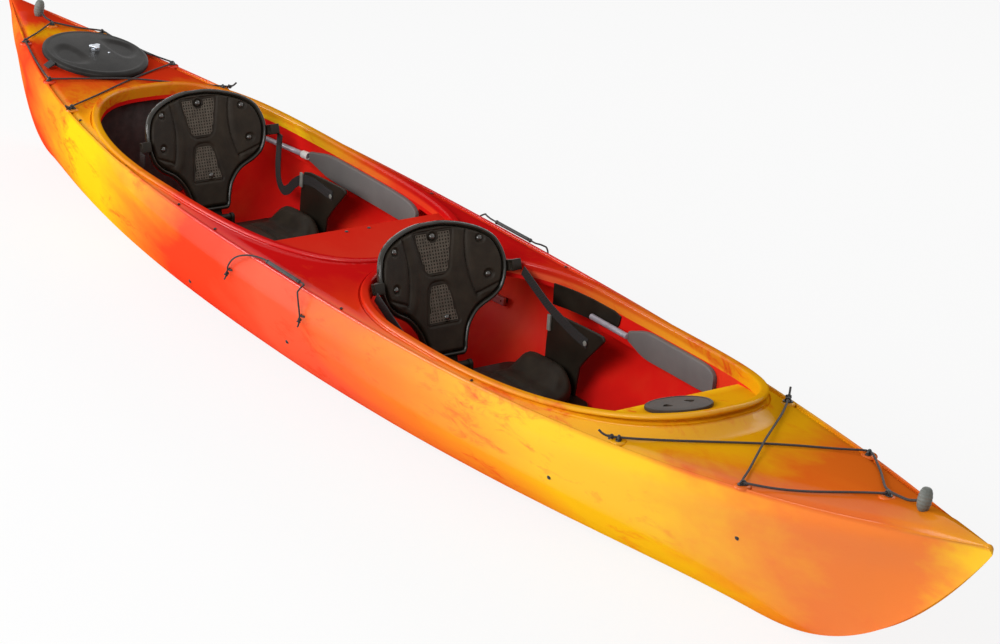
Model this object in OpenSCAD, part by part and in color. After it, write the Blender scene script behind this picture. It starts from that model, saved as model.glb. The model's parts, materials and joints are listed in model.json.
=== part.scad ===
// Tandem sit-inside kayak: one moulded hull with two seats, a stern hatch and deck rigging.
// +X points to the bow, +Y to port, +Z up. The origin lies on the floor under mid-length.

/* [Hull] */
// Overall length of the hull
hull_len = 4720; // [4500:10:4950]
// Widest beam of the hull
hull_beam = 750; // [720:5:790]
// Wall of the moulded hull and deck
hull_wall = 6; // [5:0.5:8]
// Height of the sheer line amidships
sheer_mid = 335; // [320:1:350]
// Rise of the sheer line at the bow
bow_rise = 117; // [95:1:135]
// Rise of the sheer line at the stern
stern_rise = 105; // [85:1:125]
// Camber of the deck on the centreline
deck_camber = 12; // [9:0.5:16]
// Extra height of the peaked foredeck
bow_ridge = 12; // [6:1:18]
// Half width of the flat strip along the keel that the hull rests on
keel_flat = 62; // [50:1:75]

/* [Cockpits] */
// Aft end of the front cockpit's rim
front_pit_aft = 139; // [120:1:155]
// Forward end of the front cockpit's rim
front_pit_fore = 1454; // [1430:1:1475]
// Aft end of the rear cockpit's rim
rear_pit_aft = -1394; // [-1410:1:-1380]
// Forward end of the rear cockpit's rim
rear_pit_fore = 90; // [70:1:98]
// Aft edge of the sunken tray inside the rear cockpit's forward end
tray_aft = -190; // [-205:1:-175]
// Depth of the tray's top below the rim
tray_drop = 17; // [13:1:22]
// Room between a seat base's edge and the cockpit's rim
pit_side = 71; // [64:1:78]
// Height of the rim's top above the sheer line amidships
rim_mid = 15; // [11:1:20]
// Rise of the front cockpit's rim to its forward end
front_rim_rise = 80; // [60:1:95]
// Rise of the rear cockpit's rim to its aft end
rear_rim_rise = 52; // [38:1:66]
// Thickness of the coaming's wall
coaming_wall = 8; // [6:0.5:10]
// Reach of the rolled lip outside the wall
rim_lip = 20; // [12:1:24]
// Thickness of the rolled lip
rim_lip_t = 10; // [8:0.5:12]
// Depth of the coaming's inner skirt below the rim
skirt_drop = 48; // [40:1:56]

/* [Stern hatch] */
// Centre of the hatch along the boat
hatch_x = -1747; // [-1762:1:-1746]
// Length of the hatch cover
hatch_len = 402; // [384:2:404]
// Width of the hatch cover
hatch_w = 310; // [290:2:316]
// Depth of the hatch cover's skirt
hatch_skirt = 16; // [14:1:22]
// Crown of the cover above its edge
hatch_crown = 7; // [4:1:12]
// Depth of the two finger hollows in the cover
hollow_depth = 7; // [3:0.5:9]
// Thickness of the cover's plate
hatch_plate = 6; // [5:0.5:8]
// Thickness of the gasket under the cover
gasket_t = 1.7; // [1.2:0.1:2.5]
// Diameter of the twist knob on the cover
knob_d = 40; // [30:1:50]
// Height of the twist knob
knob_h = 16; // [12:1:22]

/* [Dash] */
// Aft edge of the dash shelf
dash_aft = 1198; // [1180:1:1202]
// Height of the dash shelf's top above the sheer line amidships, at the lid's centre
dash_top = 26; // [20:1:30]
// Lean of the dash towards the front seat, in degrees
dash_tilt = 13; // [9:0.5:16]
// Thickness of the dash shelf
dash_t = 6; // [5:0.5:8]
// Diameter of the twist lid on the dash
dash_lid_d = 165; // [160:1:170]
// Thickness of the twist lid
dash_lid_t = 10; // [9:0.5:14]
// Centre of the dash lid along the boat
dash_lid_x = 1286; // [1280:1:1300]
// Outside diameter of the storage cup under the lid
cup_d = 140; // [130:1:146]
// Depth of the storage cup under the shelf
cup_depth = 110; // [100:1:120]

/* [Seats] */
// Hinge of the front seat's back along the boat
front_hinge_x = 336; // [325:1:350]
// Hinge of the rear seat's back along the boat
rear_hinge_x = -946; // [-960:1:-935]
// Height of the back hinge
hinge_z = 115; // [110:1:120]
// Lean of the seat backs at rest, in degrees
back_lean = 19.6; // [15:0.2:24]
// Height of a seat back above its hinge
back_h = 385; // [360:1:400]
// Width of a seat back
back_w = 400; // [385:1:404]
// Forward sweep of the seat back's edges
back_wrap = 42; // [34:1:50]
// Thickness of the seat back's shell
shell_t = 6; // [5:0.5:8]
// Thickness of the seat back's pad
pad_t = 14; // [11:0.5:17]
// Diameter of the hinge pin
pin_d = 8; // [6:0.5:10]
// Length of a seat base
base_len = 360; // [340:2:375]
// Width of a seat base
base_w = 486; // [476:2:496]
// Height of the seat base's pan above the hull floor
pan_lift = 54; // [50:1:60]
// Thickness of the seat base's pan
pan_t = 8; // [6:0.5:10]
// Height of the seat cushion
cushion_h = 46; // [36:1:52]
// Height of the hip plates above the pan
hip_h = 230; // [215:1:235]
// Thickness of the hip plates
hip_t = 8; // [6:0.5:10]
// Width of the strap webbing
strap_w = 25; // [20:1:28]
// Thickness of the strap webbing
strap_t = 2; // [1.5:0.1:2.5]

/* [Thigh pads] */
// Thickness of the thigh pads
thigh_t = 11; // [8:0.5:14]
// Height of the thigh pads
thigh_h = 76; // [66:1:84]
// Depth of the thigh pads' top edge below the rim
thigh_drop = 38; // [34:1:44]
// Aft end of the front thigh pads
front_thigh_aft = 690; // [680:1:700]
// Length of the front thigh pads
front_thigh_len = 397; // [380:1:410]
// Aft end of the rear thigh pads
rear_thigh_aft = -917; // [-925:1:-910]
// Length of the rear thigh pads
rear_thigh_len = 600; // [580:1:610]
// Diameter of the tubes behind the thigh pads
tube_d = 16; // [14:0.5:18]

/* [Foot braces] */
// Aft end of the front foot rails
front_rail_x = 1170; // [1160:1:1180]
// Aft end of the rear foot rails
rear_rail_x = -500; // [-510:1:-490]
// Distance along the boat between a rail's two screws
rail_span = 565; // [545:1:575]
// Height of a foot rail's section
rail_h = 22; // [18:1:26]
// Thickness of a foot rail's section
rail_t = 10; // [8:0.5:12]
// Reach of a pedal inside its rail
pedal_reach = 80; // [70:1:90]

/* [Rigging] */
// Diameter of the deck bungees
bungee_d = 5.5; // [4.5:0.1:6]
// Length of a pad eye's base
eye_len = 26; // [24:1:30]
// Height of a pad eye
eye_h = 13; // [12:0.5:16]
// Diameter of the paddle keepers' sleeves
sleeve_d = 10; // [9:0.5:12]
// Length of the paddle keepers' sleeves
sleeve_len = 150; // [130:1:160]
// Diameter of the carry toggles
toggle_d = 33; // [28:1:38]
// Length of the carry toggles
toggle_len = 56; // [50:1:64]

/* [Hidden] */
$fn = 32;

// Room between two pieces that lie against each other
gap = 0.3;
// Room round a pin in its bore
run_gap = 0.05;
// Depth that one lump of the moulding sinks into the next
bite = 3;
half_len = hull_len / 2;
// The length and beam that places along and across the boat are given for; they move with the hull's own
drawn_len = 4720;
drawn_beam = 750;
function along(x) = x * hull_len / drawn_len;
function across(y) = y * hull_beam / drawn_beam;
pit_half = base_w / 2 + pit_side;
// Half width of the rounded stem and stern
tip_half = 9;
// Share of the half length at which the stem starts to rise, and how fast it rises
bow_foot = 0.70;
stern_foot = 0.812;
stem_power = 2.2;
// Fullness of the hull's sections amidships, at the bow and at the stern, and how late they sharpen
mid_full = 2.9;
bow_full = 0.4;
stern_full = 1.3;
bow_sharp = 1.4;
stern_sharp = 2;
beam_power = 2.6;
hull_steps = 38;
side_steps = 7;
deck_steps = 3;

function station(x) = min(1, abs(x) / half_len);
function half_beam(x) = max(tip_half, hull_beam / 2 * (1 - pow(station(x), beam_power)));
function sheer_z(x) = sheer_mid + (x > 0 ? bow_rise : stern_rise) * pow(station(x), 3);
function stem_share(x) = let(foot = x > 0 ? bow_foot : stern_foot)
    max(0, (0.994 * station(x) - foot) / (1 - foot));
function keel_z(x) = sheer_z(x > 0 ? half_len : -half_len) * pow(stem_share(x), stem_power);
function fullness(x) = mid_full
    + ((x > 0 ? bow_full : stern_full) - mid_full) * pow(station(x), x > 0 ? bow_sharp : stern_sharp);
function flat_half(x) = min(keel_flat * (1 - pow(station(x), 2)), half_beam(x) / 2);
function camber(x) = min(1, half_beam(x) / 60)
    * (deck_camber + (x > 0 ? bow_ridge * pow(station(x), 6) : 0));
function ridge_power(x) = 2 - (x > 0 ? 0.8 * pow(station(x), 4) : 0);
function deck_z(x, y) = sheer_z(x)
    + camber(x) * (1 - pow(min(1, abs(y) / half_beam(x)), ridge_power(x)));

// Half width of the hull at a height, for the outside (inset 0) or a layer inside it
function side_half(x, z, inset = 0) = let(
    half = half_beam(x) - inset,
    flat = min(flat_half(x), half / 2),
    low = keel_z(x) + inset,
    t = min(1, max(0, (z - low) / (sheer_z(x) - inset - low))),
    n = fullness(x))
    flat + (half - flat) * pow(1 - pow(1 - t, n), 1 / n);

// One closed cross-section of the hull, clipped at a half width where reach is given
function hull_ring(x, inset = 0, reach = 9999) = let(
    half = max(3, half_beam(x) - inset),
    flat = min(flat_half(x), half / 2),
    low = keel_z(x) + inset,
    high = sheer_z(x) - inset,
    n = fullness(x),
    port = [for (i = [0:side_steps]) let(a = 90 * i / side_steps)
        [x, min(reach, flat + (half - flat) * pow(sin(a), 2 / n)),
            low + (high - low) * (1 - pow(cos(a), 2 / n))]],
    deck = [for (j = [1:2 * deck_steps - 1]) let(share = 1 - j / deck_steps)
        [x, share * min(reach, half), high + camber(x) * (1 - pow(abs(share), ridge_power(x)))]])
    concat(port, deck, [for (i = [side_steps:-1:0]) [x, -port[i][1], port[i][2]]]);

function stations(reach, steps) = [for (i = [0:steps]) reach * sin(180 * i / steps - 90)];

function middle(ring) = [for (k = [0:2]) sum_of([for (p = ring) p[k]]) / len(ring)];
function sum_of(list, i = 0) = i == len(list) ? 0 : list[i] + sum_of(list, i + 1);

// A skin over a row of rings, each turning anticlockwise about the way that the row runs
module skin(rings, loop = false) {
    m = len(rings);
    n = len(rings[0]);
    rows = loop ? m : m - 1;
    walls = [for (i = [0:rows - 1], j = [0:n - 1]) let(
        a = i * n + j,
        b = i * n + (j + 1) % n,
        c = ((i + 1) % m) * n + (j + 1) % n,
        d = ((i + 1) % m) * n + j)
        each [[a, d, c], [a, c, b]]];
    caps = loop ? [] : [for (j = [0:n - 1]) each [
        [m * n, j, (j + 1) % n],
        [m * n + 1, (m - 1) * n + (j + 1) % n, (m - 1) * n + j]]];
    ends = loop ? [] : [middle(rings[0]), middle(rings[m - 1])];
    polyhedron(points = concat([for (r = rings) each r], ends), faces = concat(walls, caps));
}

module both_sides() {
    children();
    mirror([0, 1, 0]) children();
}

// Cockpit rims: [middle, forward end, aft end, forward power, aft power, forward rise, aft rise]
front_pit = [along(546), along(front_pit_fore), along(front_pit_aft), 2.6, 2.1, front_rim_rise, 4];
rear_pit = [along(-686), along(rear_pit_fore), along(rear_pit_aft), 3, 2.8, 3, rear_rim_rise];

function pit_share(pit, x) = x > pit[0] ? (x - pit[0]) / (pit[1] - pit[0]) : (pit[0] - x) / (pit[0] - pit[2]);
function pit_y(pit, x) = let(e = x > pit[0] ? pit[3] : pit[4])
    pit_half * pow(max(0, 1 - pow(pit_share(pit, x), e)), 1 / e);
function rim_z(pit, x) = sheer_mid + rim_mid
    + (x > pit[0] ? pit[5] : pit[6]) * pow(min(1, pit_share(pit, x)), 2.5);
function pit_point(pit, t) = let(
    c = cos(t),
    s = sin(t),
    e = c > 0 ? pit[3] : pit[4],
    reach = c > 0 ? pit[1] - pit[0] : pit[0] - pit[2])
    [pit[0] + reach * sign(c) * pow(abs(c), 2 / e), pit_half * sign(s) * pow(abs(s), 2 / e)];
function pit_normal(pit, t) = let(d = pit_point(pit, t + 2) - pit_point(pit, t - 2))
    [d[1], -d[0]] / norm(d);

front_thigh_at = along(front_thigh_aft);
rear_thigh_at = along(rear_thigh_aft);
// The skirt reaches down behind the thigh pads and their tubes, as a brace, and to the dash
brace_drop = thigh_drop + thigh_h - skirt_drop - 4;
function brace_share(pit, x) = let(
    from = pit == front_pit ? front_thigh_at - tube_len - 40 : rear_thigh_at - rear_tube_len - 20,
    to = pit == front_pit ? dash_at - 20 : rear_thigh_at + rear_thigh_len)
    max(0, min(1, (x - from) / 60, (to - x) / 60));

rim_steps = 44;
coaming_in = coaming_wall / 2;

// One section of a coaming: inner skirt, wall and rolled lip
function coaming_ring(pit, t) = let(
    p = pit_point(pit, t),
    n = pit_normal(pit, t),
    top = rim_z(pit, p[0]),
    foot = min(deck_z(p[0], p[1]) - hull_wall - 2, top - skirt_drop - brace_drop * brace_share(pit, p[0])),
    edge = [[-coaming_in, foot], [-coaming_in, top - 4], [0, top], [rim_lip - 4, top],
        [rim_lip, top - rim_lip_t / 2], [rim_lip - 4, top - rim_lip_t],
        [coaming_in, top - rim_lip_t], [coaming_in, foot]])
    [for (e = edge) [p[0] + n[0] * e[0], p[1] + n[1] * e[0], e[1]]];

module coaming(pit) {
    skin([for (i = [0:rim_steps - 1]) coaming_ring(pit, 360 * i / rim_steps)], loop = true);
}

module pit_area(pit, grow) {
    polygon([for (i = [0:rim_steps - 1]) let(t = 360 * (i + 0.5) / rim_steps)
        pit_point(pit, t) + grow * pit_normal(pit, t)]);
}

// Hatch frame: on the deck at the hatch's centre, tilted with the deck
hatch_at = along(hatch_x);
hatch_tilt = atan(3 * stern_rise * pow(station(hatch_at), 2) / half_len);
module hatch_frame() {
    translate([hatch_at, 0, deck_z(hatch_at, 0)])
        rotate([0, hatch_tilt, 0]) children();
}

oval_steps = 32;
function oval(inset, z) = [for (i = [0:oval_steps - 1]) let(a = 360 * i / oval_steps)
    [(hatch_len / 2 - inset) * cos(a), (hatch_w / 2 - inset) * sin(a), z]];
module oval_area(inset) {
    polygon([for (p = oval(inset, 0)) [p[0], p[1]]]);
}

// Height of the cover's underside edge above the deck, and what lies above it
cover_foot = 5;
cover_inside = cover_foot + hatch_skirt - hatch_plate;
cover_edge = cover_foot + hatch_skirt;
cover_wall = 10;
collar_gap = 6;
collar_wall = 7;
collar_inset = cover_wall + collar_gap;
collar_top = cover_inside - gasket_t - gap;

// Deck fittings: [along, across, turn] on deck, and [along, height] on the hull's side
front_eyes = [[1386, -251, -45], [1386, 251, 45], [1758, -184, 66], [1758, 184, -66], [2027, 0, 0]];
rear_eyes = [[-1389, -258, 35], [-1389, 258, -35], [-1634, -213, -58], [-1634, 213, 58], [-1962, -134, 54],
    [-1962, 134, -54], [-2050, 0, 0]];
deck_eyes = [for (p = concat(front_eyes, rear_eyes)) [along(p[0]), across(p[1]), p[2]]];
eye_drop = 64;
side_eyes = [[along(-193), sheer_mid - eye_drop], [along(188), sheer_mid - eye_drop]];
boss_r = eye_len / 2 + 4;
boss_h = 3.5;
function boss_top(p) = deck_z(p[0], p[1]) + boss_h;
function side_seat(p) = side_half(p[0], p[1]) + boss_h;

module eye_bosses() {
    for (p = deck_eyes) hull() {
        translate([p[0], p[1], boss_top(p) - bite - boss_h]) cylinder(r = boss_r + 3, h = 1, $fn = 12);
        translate([p[0], p[1], boss_top(p) - 1]) cylinder(r = boss_r, h = 1, $fn = 12);
    }
    both_sides() for (p = side_eyes) hull() {
        translate([p[0], side_seat(p) - bite - boss_h, p[1]]) rotate([-90, 0, 0])
            cylinder(r = boss_r + 3, h = 1, $fn = 12);
        translate([p[0], side_seat(p) - 1, p[1]]) rotate([-90, 0, 0])
            cylinder(r = boss_r, h = 1, $fn = 12);
    }
}

dash_z = sheer_mid + dash_top - dash_t;
dash_at = along(dash_lid_x);
cup_hole = cup_d / 2 + 0.5;

// The dash leans about the lid's centre: a slope for what hangs in it upright, a frame for what lies on it
module dash_slope() {
    rise = tan(dash_tilt);
    multmatrix([[1, 0, 0, 0], [0, 1, 0, 0], [rise, 0, 1, -dash_at * rise], [0, 0, 0, 1]]) children();
}
module dash_frame() {
    translate([dash_at, 0, dash_z + dash_t]) rotate([0, -dash_tilt, 0]) children();
}

module dash_shelf() {
    dash_slope() translate([0, 0, dash_z]) linear_extrude(dash_t) difference() {
        intersection() {
            pit_area(front_pit, 0.7);
            translate([along(dash_aft), -pit_half]) square([half_len, 2 * pit_half]);
        }
        translate([dash_at, 0]) circle(cup_hole);
    }
}

// Sunken tray behind the front seat, with a turned-down lip
tray_z = sheer_mid + rim_mid - tray_drop;
tray_at = along(tray_aft);
module bridge_tray() {
    translate([0, 0, tray_z - hull_wall]) linear_extrude(hull_wall) intersection() {
        pit_area(rear_pit, 0.7);
        translate([tray_at, -pit_half]) square([half_len, 2 * pit_half]);
    }
    lip_half = pit_y(rear_pit, tray_at) - 1;
    translate([tray_at + 0.5, -lip_half, tray_z - 18]) cube([hull_wall, 2 * lip_half, 15]);
}

inner_stations = stations(half_len - 150, hull_steps);
module hull_shell() {
    color("darkorange") union() {
        difference() {
            skin([for (x = stations(half_len, hull_steps)) hull_ring(x)]);
            skin([for (x = inner_stations) hull_ring(x, hull_wall)]);
            for (pit = [front_pit, rear_pit]) {
                translate([0, 0, sheer_mid - skirt_drop]) linear_extrude(bow_rise + sheer_mid) pit_area(pit, 1.7);
            }
            hatch_frame() translate([0, 0, -6 * hull_wall]) linear_extrude(12 * hull_wall)
                oval_area(collar_inset + collar_wall / 2);
        }
        coaming(front_pit);
        coaming(rear_pit);
        dash_shelf();
        bridge_tray();
        eye_bosses();
        hatch_frame() translate([0, 0, -2 * hull_wall]) linear_extrude(2 * hull_wall + collar_top)
            difference() {
                oval_area(collar_inset);
                oval_area(collar_inset + collar_wall);
            }
    }
}

// Foam bulkhead that closes the stern compartment
bulkhead_x = rear_pit[2] - 80;
bulkhead_t = 50;
module rear_bulkhead() {
    color("dimgray") skin([for (x = [bulkhead_x, bulkhead_x + bulkhead_t]) hull_ring(x, hull_wall + 2)]);
}

// Foam pillar between hull and foredeck
float_x = along(1780);
float_len = along(370);
float_half = 45;
module bow_float() {
    color("dimgray") skin([for (x = inner_stations) if (x > float_x && x < float_x + float_len)
        hull_ring(x, hull_wall + 1, float_half)]);
}

function cover_top(x, y) = let(
    r2 = pow(2 * x / hatch_len, 2) + pow(2 * y / hatch_w, 2),
    dip = exp(-pow(x / 75, 2) - pow((abs(y) - 92) / 34, 2)))
    cover_edge + hatch_crown * (1 - r2) - hollow_depth * dip;
function cover_ring(share) = [for (p = oval(0, 0)) let(x = p[0] * share, y = p[1] * share)
    [x, y, cover_top(x, y)]];

module hatch_cover() {
    inner = cover_wall;
    color([0.2, 0.19, 0.18]) hatch_frame() skin(concat(
        [oval(hatch_w / 2 - 8, cover_inside), oval(inner, cover_inside), oval(inner, cover_foot),
            oval(0, cover_foot), oval(0, cover_edge - 4), oval(3, cover_edge - 1)],
        [for (share = [0.93, 0.82, 0.7, 0.58, 0.46, 0.32, 0.12]) cover_ring(share)]));
}

module hatch_gasket() {
    color("black") hatch_frame() translate([0, 0, collar_top + gap / 2]) linear_extrude(gasket_t) difference() {
        oval_area(collar_inset - 1);
        oval_area(collar_inset + collar_wall + 3);
    }
}

knob_seat = cover_top(0, 0) + gap;
module hatch_knob() {
    color("silver") hatch_frame() translate([0, 0, knob_seat]) {
        cylinder(d = knob_d * 0.7, h = knob_h * 0.45);
        translate([0, 0, knob_h * 0.45]) linear_extrude(knob_h * 0.55)
            for (a = [0:120:240]) rotate(a) translate([knob_d * 0.24, 0]) circle(knob_d * 0.26);
    }
}

screw_spot = [34, 30];
module hatch_screw() {
    seat = cover_top(screw_spot[0], screw_spot[1]) + gap;
    color("silver") hatch_frame() translate([screw_spot[0], screw_spot[1], seat]) cylinder(r = 4, h = 2);
}

// Webbing tabs at the cover's two sides
module hatch_tabs() {
    tab_w = 34;
    edge = hatch_w / 2 + gap;
    color("black") hatch_frame() both_sides() translate([20 - tab_w / 2, 0, cover_foot + 4]) rotate([90, 0, 90])
        linear_extrude(tab_w) polygon([[edge, 0], [edge + 12, -4], [edge + 24, -9], [edge + 24, -6],
            [edge + 12, 1], [edge, 8]]);
}

module dash_lid() {
    color([0.25, 0.24, 0.23]) dash_frame() translate([0, 0, gap]) difference() {
        cylinder(d = dash_lid_d, h = dash_lid_t);
        for (side = [1, -1]) translate([0, side * 34, dash_lid_t - 6]) linear_extrude(8)
            polygon([[-14, -side * 9], [14, -side * 9], [14, 0], [0, side * 13], [-14, 0]]);
    }
}

cup_wall = 2.5;
module dash_cup() {
    color("black") dash_slope() translate([dash_at, 0, 0]) rotate_extrude() polygon([
        [0, dash_z - cup_depth], [cup_d / 2 - 8, dash_z - cup_depth], [cup_d / 2, dash_z - cup_depth + 8],
        [cup_d / 2, dash_z - 4], [cup_d / 2 + 10, dash_z - 4], [cup_d / 2 + 10, dash_z - gap],
        [cup_d / 2, dash_z - gap], [cup_d / 2, dash_z + dash_t - gap],
        [cup_d / 2 - cup_wall, dash_z + dash_t - gap], [cup_d / 2 - cup_wall, dash_z - cup_depth + cup_wall + 6],
        [cup_d / 2 - 8 - cup_wall, dash_z - cup_depth + cup_wall], [0, dash_z - cup_depth + cup_wall]]);
}

module bridge_rivets() {
    color("black") both_sides() translate([tray_at + 22, 36, tray_z]) {
        translate([0, 0, gap]) cylinder(r = 5, h = 2.5);
        translate([0, 0, -hull_wall / 2]) cylinder(r = 2.4, h = hull_wall / 2 + gap);
    }
}

// Seat parts, each made at the place of its hinge along the boat
pan_z = hull_wall + pan_lift;
pan_top = pan_z + pan_t;
base_aft = -60;
ear_y = 48;
ear_t = 10;
ear_r = 12;
bore_r = pin_d / 2 + run_gap;

module round_plate(l, w, r) {
    translate([r, -w / 2]) square([l - 2 * r, w]);
    translate([0, r - w / 2]) square([l, w - 2 * r]);
    for (x = [r, l - r], y = [r - w / 2, w / 2 - r]) translate([x, y]) circle(r);
}

module seat_base(hinge_x) {
    color([0.13, 0.12, 0.11]) translate([hinge_x, 0, 0]) {
        translate([base_aft, 0, pan_z]) linear_extrude(pan_t) round_plate(base_len, base_w, 40);
        translate([base_aft + 30, -50, hull_wall]) cube([base_len - 60, 100, pan_lift]);
        both_sides() translate([0, ear_y, 0]) rotate([90, 0, 0]) translate([0, 0, -ear_t / 2]) difference() {
            union() {
                translate([0, hinge_z]) cylinder(r = ear_r, h = ear_t);
                translate([-ear_r, pan_top - 1, 0]) cube([2 * ear_r, hinge_z - pan_top + 1, ear_t]);
            }
            translate([0, hinge_z, -1]) cylinder(r = bore_r, h = ear_t + 2);
        }
    }
}

cushion_len = base_len - 105;
cushion_w = base_w - 116;
cushion_steps = 32;
function cushion_spot(share, a) = let(
    pinch = 1 - 0.035 * pow(cos(2 * a), 2))
    [share * pinch * cushion_len / 2 * sign(cos(a)) * pow(abs(cos(a)), 0.45),
        share * pinch * cushion_w / 2 * sign(sin(a)) * pow(abs(sin(a)), 0.45)];
function cushion_crown(share, p) = let(
    channel = exp(-pow((abs(p[1]) - cushion_w / 5) / 12, 2)) * (share < 0.9 ? 1 : 0))
    cushion_h * (0.72 + 0.28 * (1 - pow(share, 2))) - 5 * channel;
function cushion_ring(share, z) = [for (i = [0:cushion_steps - 1])
    let(p = cushion_spot(share, 360 * i / cushion_steps)) [p[0], p[1], z < 0 ? cushion_crown(share, p) : z]];

module seat_cushion(hinge_x) {
    middle_x = hinge_x + base_aft + base_len - cushion_len / 2 - 15;
    color([0.16, 0.15, 0.14]) translate([middle_x, 0, pan_top + gap]) skin(concat(
        [cushion_ring(0.93, 0), cushion_ring(0.985, cushion_h * 0.2), cushion_ring(1, cushion_h * 0.42),
            cushion_ring(0.98, cushion_h * 0.6)],
        [for (share = [0.93, 0.82, 0.68, 0.52, 0.34, 0.14]) cushion_ring(share, -1)]));
}

// The back's frame: hinge at its origin, +Z up the back, +X out of its face
module back_frame(hinge_x) {
    translate([hinge_x, 0, hinge_z]) rotate([0, -back_lean, 0]) children();
}

// Outline of the back: [share of its height, share of its half width]
back_outline = [[0.06, 0.3], [0.16, 0.35], [0.26, 0.42], [0.35, 0.565], [0.415, 0.8], [0.5, 0.935],
    [0.66, 1], [0.82, 0.92], [0.91, 0.74], [0.97, 0.47], [1, 0.2]];
back_dish = 20;
function face_depth(y) = back_wrap * pow(2 * y / back_w, 2) - back_dish;
function outline_half(share, i = 1) = i == len(back_outline) - 1 || share <= back_outline[i][0]
    ? let(a = back_outline[i - 1], b = back_outline[i])
        a[1] + (b[1] - a[1]) * max(0, min(1, (share - a[0]) / (b[0] - a[0])))
    : outline_half(share, i + 1);
function back_half(v) = outline_half(v / back_h) * back_w / 2;
// A section across the back, between two depths from its face
function back_ring(v, half, low, high, steps) = concat(
    [for (i = [0:steps]) let(y = half * (2 * i / steps - 1)) [face_depth(y) + high, y, v]],
    [for (i = [steps:-1:0]) let(y = half * (2 * i / steps - 1)) [face_depth(y) + low, y, v]]);

module back_shell(hinge_x) {
    color([0.1, 0.095, 0.09]) back_frame(hinge_x) skin([for (p = back_outline)
        back_ring(p[0] * back_h, p[1] * back_w / 2, -pad_t - 4 * gap - shell_t, -pad_t - 4 * gap, 16)]);
}

// Pad relief: grooves beside the middle panels and round the side cushions
groove_y = 66;
function pad_relief(y, v) = -5 * exp(-pow((abs(y) - groove_y) / 7, 2)) - 3 * exp(-pow((abs(y) - 100) / 6, 2));
function pad_ring(v, half, lift) = let(steps = 16) concat(
    [for (i = [0:steps]) let(y = half * (2 * i / steps - 1))
        [face_depth(y) + lift * pad_relief(y, v) - (1 - lift) * pad_t * 0.6, y, v]],
    [for (i = [steps:-1:0]) let(y = half * (2 * i / steps - 1)) [face_depth(y) - pad_t, y, v]]);
module back_pad(hinge_x) {
    inset = 9;
    shares = [0.1, 0.13, 0.22, 0.3, 0.37, 0.43, 0.5, 0.6, 0.7, 0.8, 0.88, 0.935, 0.965];
    color([0.18, 0.165, 0.15]) back_frame(hinge_x) skin([for (i = [0:len(shares) - 1])
        pad_ring(shares[i] * back_h, back_half(shares[i] * back_h) - inset,
            i == 0 || i == len(shares) - 1 ? 0 : 1)]);
}

// Mesh panels: [lower share, its half width, upper share, its half width]
mesh_panels = [[0.3, 46, 0.575, 24], [0.645, 29, 0.93, 58]];
mesh_t = 1.5;
module back_mesh(hinge_x) {
    color([0.3, 0.28, 0.26]) back_frame(hinge_x) for (m = mesh_panels)
        skin([for (k = [0:3]) let(s = k / 3)
            back_ring((m[0] + (m[2] - m[0]) * s) * back_h, m[1] + (m[3] - m[1]) * s, gap, gap + mesh_t, 6)]);
}

// Studs: [share of the back's height, distance from the middle]
stud_spots = [[0.585, 145], [0.84, 134], [0.585, -145], [0.84, -134], [0.9, 0]];
stud_r = 7;
module back_studs(hinge_x) {
    color([0.22, 0.2, 0.18]) back_frame(hinge_x) for (p = stud_spots) {
        lift = p[1] == 0 ? mesh_t + 3 * gap : 2 * gap;
        turn = -atan(4 * back_wrap * 2 * p[1] / pow(back_w, 2));
        translate([face_depth(p[1]), p[1], p[0] * back_h]) rotate([0, 0, turn]) translate([lift, 0, 0])
            rotate([0, 90, 0]) cylinder(r1 = stud_r, r2 = stud_r - 2.5, h = 4.5);
    }
}

// Hinge leaf behind the shell, with its knuckle between the base's ears
leaf_y = ear_y - ear_t / 2 - 3;
module back_bracket(hinge_x) {
    rear = face_depth(0) - pad_t - shell_t - 5 * gap;
    plate_t = 6;
    color([0.1, 0.1, 0.1]) back_frame(hinge_x) difference() {
        union() {
            translate([rear - plate_t, -leaf_y, -7]) cube([plate_t, 2 * leaf_y, 92]);
            translate([rear - plate_t, -leaf_y, -7]) cube([plate_t - rear, 2 * leaf_y, 14]);
            rotate([90, 0, 0]) translate([0, 0, -leaf_y]) cylinder(r = 10, h = 2 * leaf_y);
        }
        rotate([90, 0, 0]) translate([0, 0, -leaf_y - 1]) cylinder(r = bore_r, h = 2 * leaf_y + 2);
    }
}

module hinge_pin(hinge_x) {
    pin_len = 2 * ear_y + ear_t + 8;
    color("silver") translate([hinge_x, pin_len / 2, hinge_z]) rotate([90, 0, 0]) cylinder(d = pin_d, h = pin_len);
}

// Hip plates stand on the pan's edges, either side of the sitter
hip_in = base_w / 2 - hip_t - 3;
hip_aft = 66;
hip_len = 230;
module hip_plates(hinge_x) {
    color([0.12, 0.11, 0.1]) both_sides() translate([hinge_x + hip_aft, hip_in + hip_t, pan_top]) rotate([90, 0, 0])
        linear_extrude(hip_t) difference() {
            polygon([[0, 0], [hip_len, 0], [hip_len, 0.42 * hip_h], [hip_len + 45, hip_h - 14],
                [hip_len + 25, hip_h], [40, hip_h - 10], [18, hip_h - 30], [0, 0.4 * hip_h]]);
            translate([hip_len / 2, 0]) circle(34);
        }
}

// Flat webbing along route points, its width upright
function cross3(a, b) = [a[1] * b[2] - a[2] * b[1], a[2] * b[0] - a[0] * b[2], a[0] * b[1] - a[1] * b[0]];
function unit(v) = v / norm(v);
function run_at(pts, i) = unit(pts[min(i + 1, len(pts) - 1)] - pts[max(i - 1, 0)]);
module webbing(pts) {
    skin([for (i = [0:len(pts) - 1]) let(
        out = [0, strap_t / 2, 0],
        wide = unit(cross3(run_at(pts, i), [0, 1, 0])) * strap_w / 2)
        [pts[i] + wide - out, pts[i] + wide + out, pts[i] - wide + out, pts[i] - wide - out]]);
}

strap_y = hip_in - gap - strap_t / 2;
lock_out = strap_y - strap_t / 2 - gap;
lock_v = 0.62 * back_h;
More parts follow.
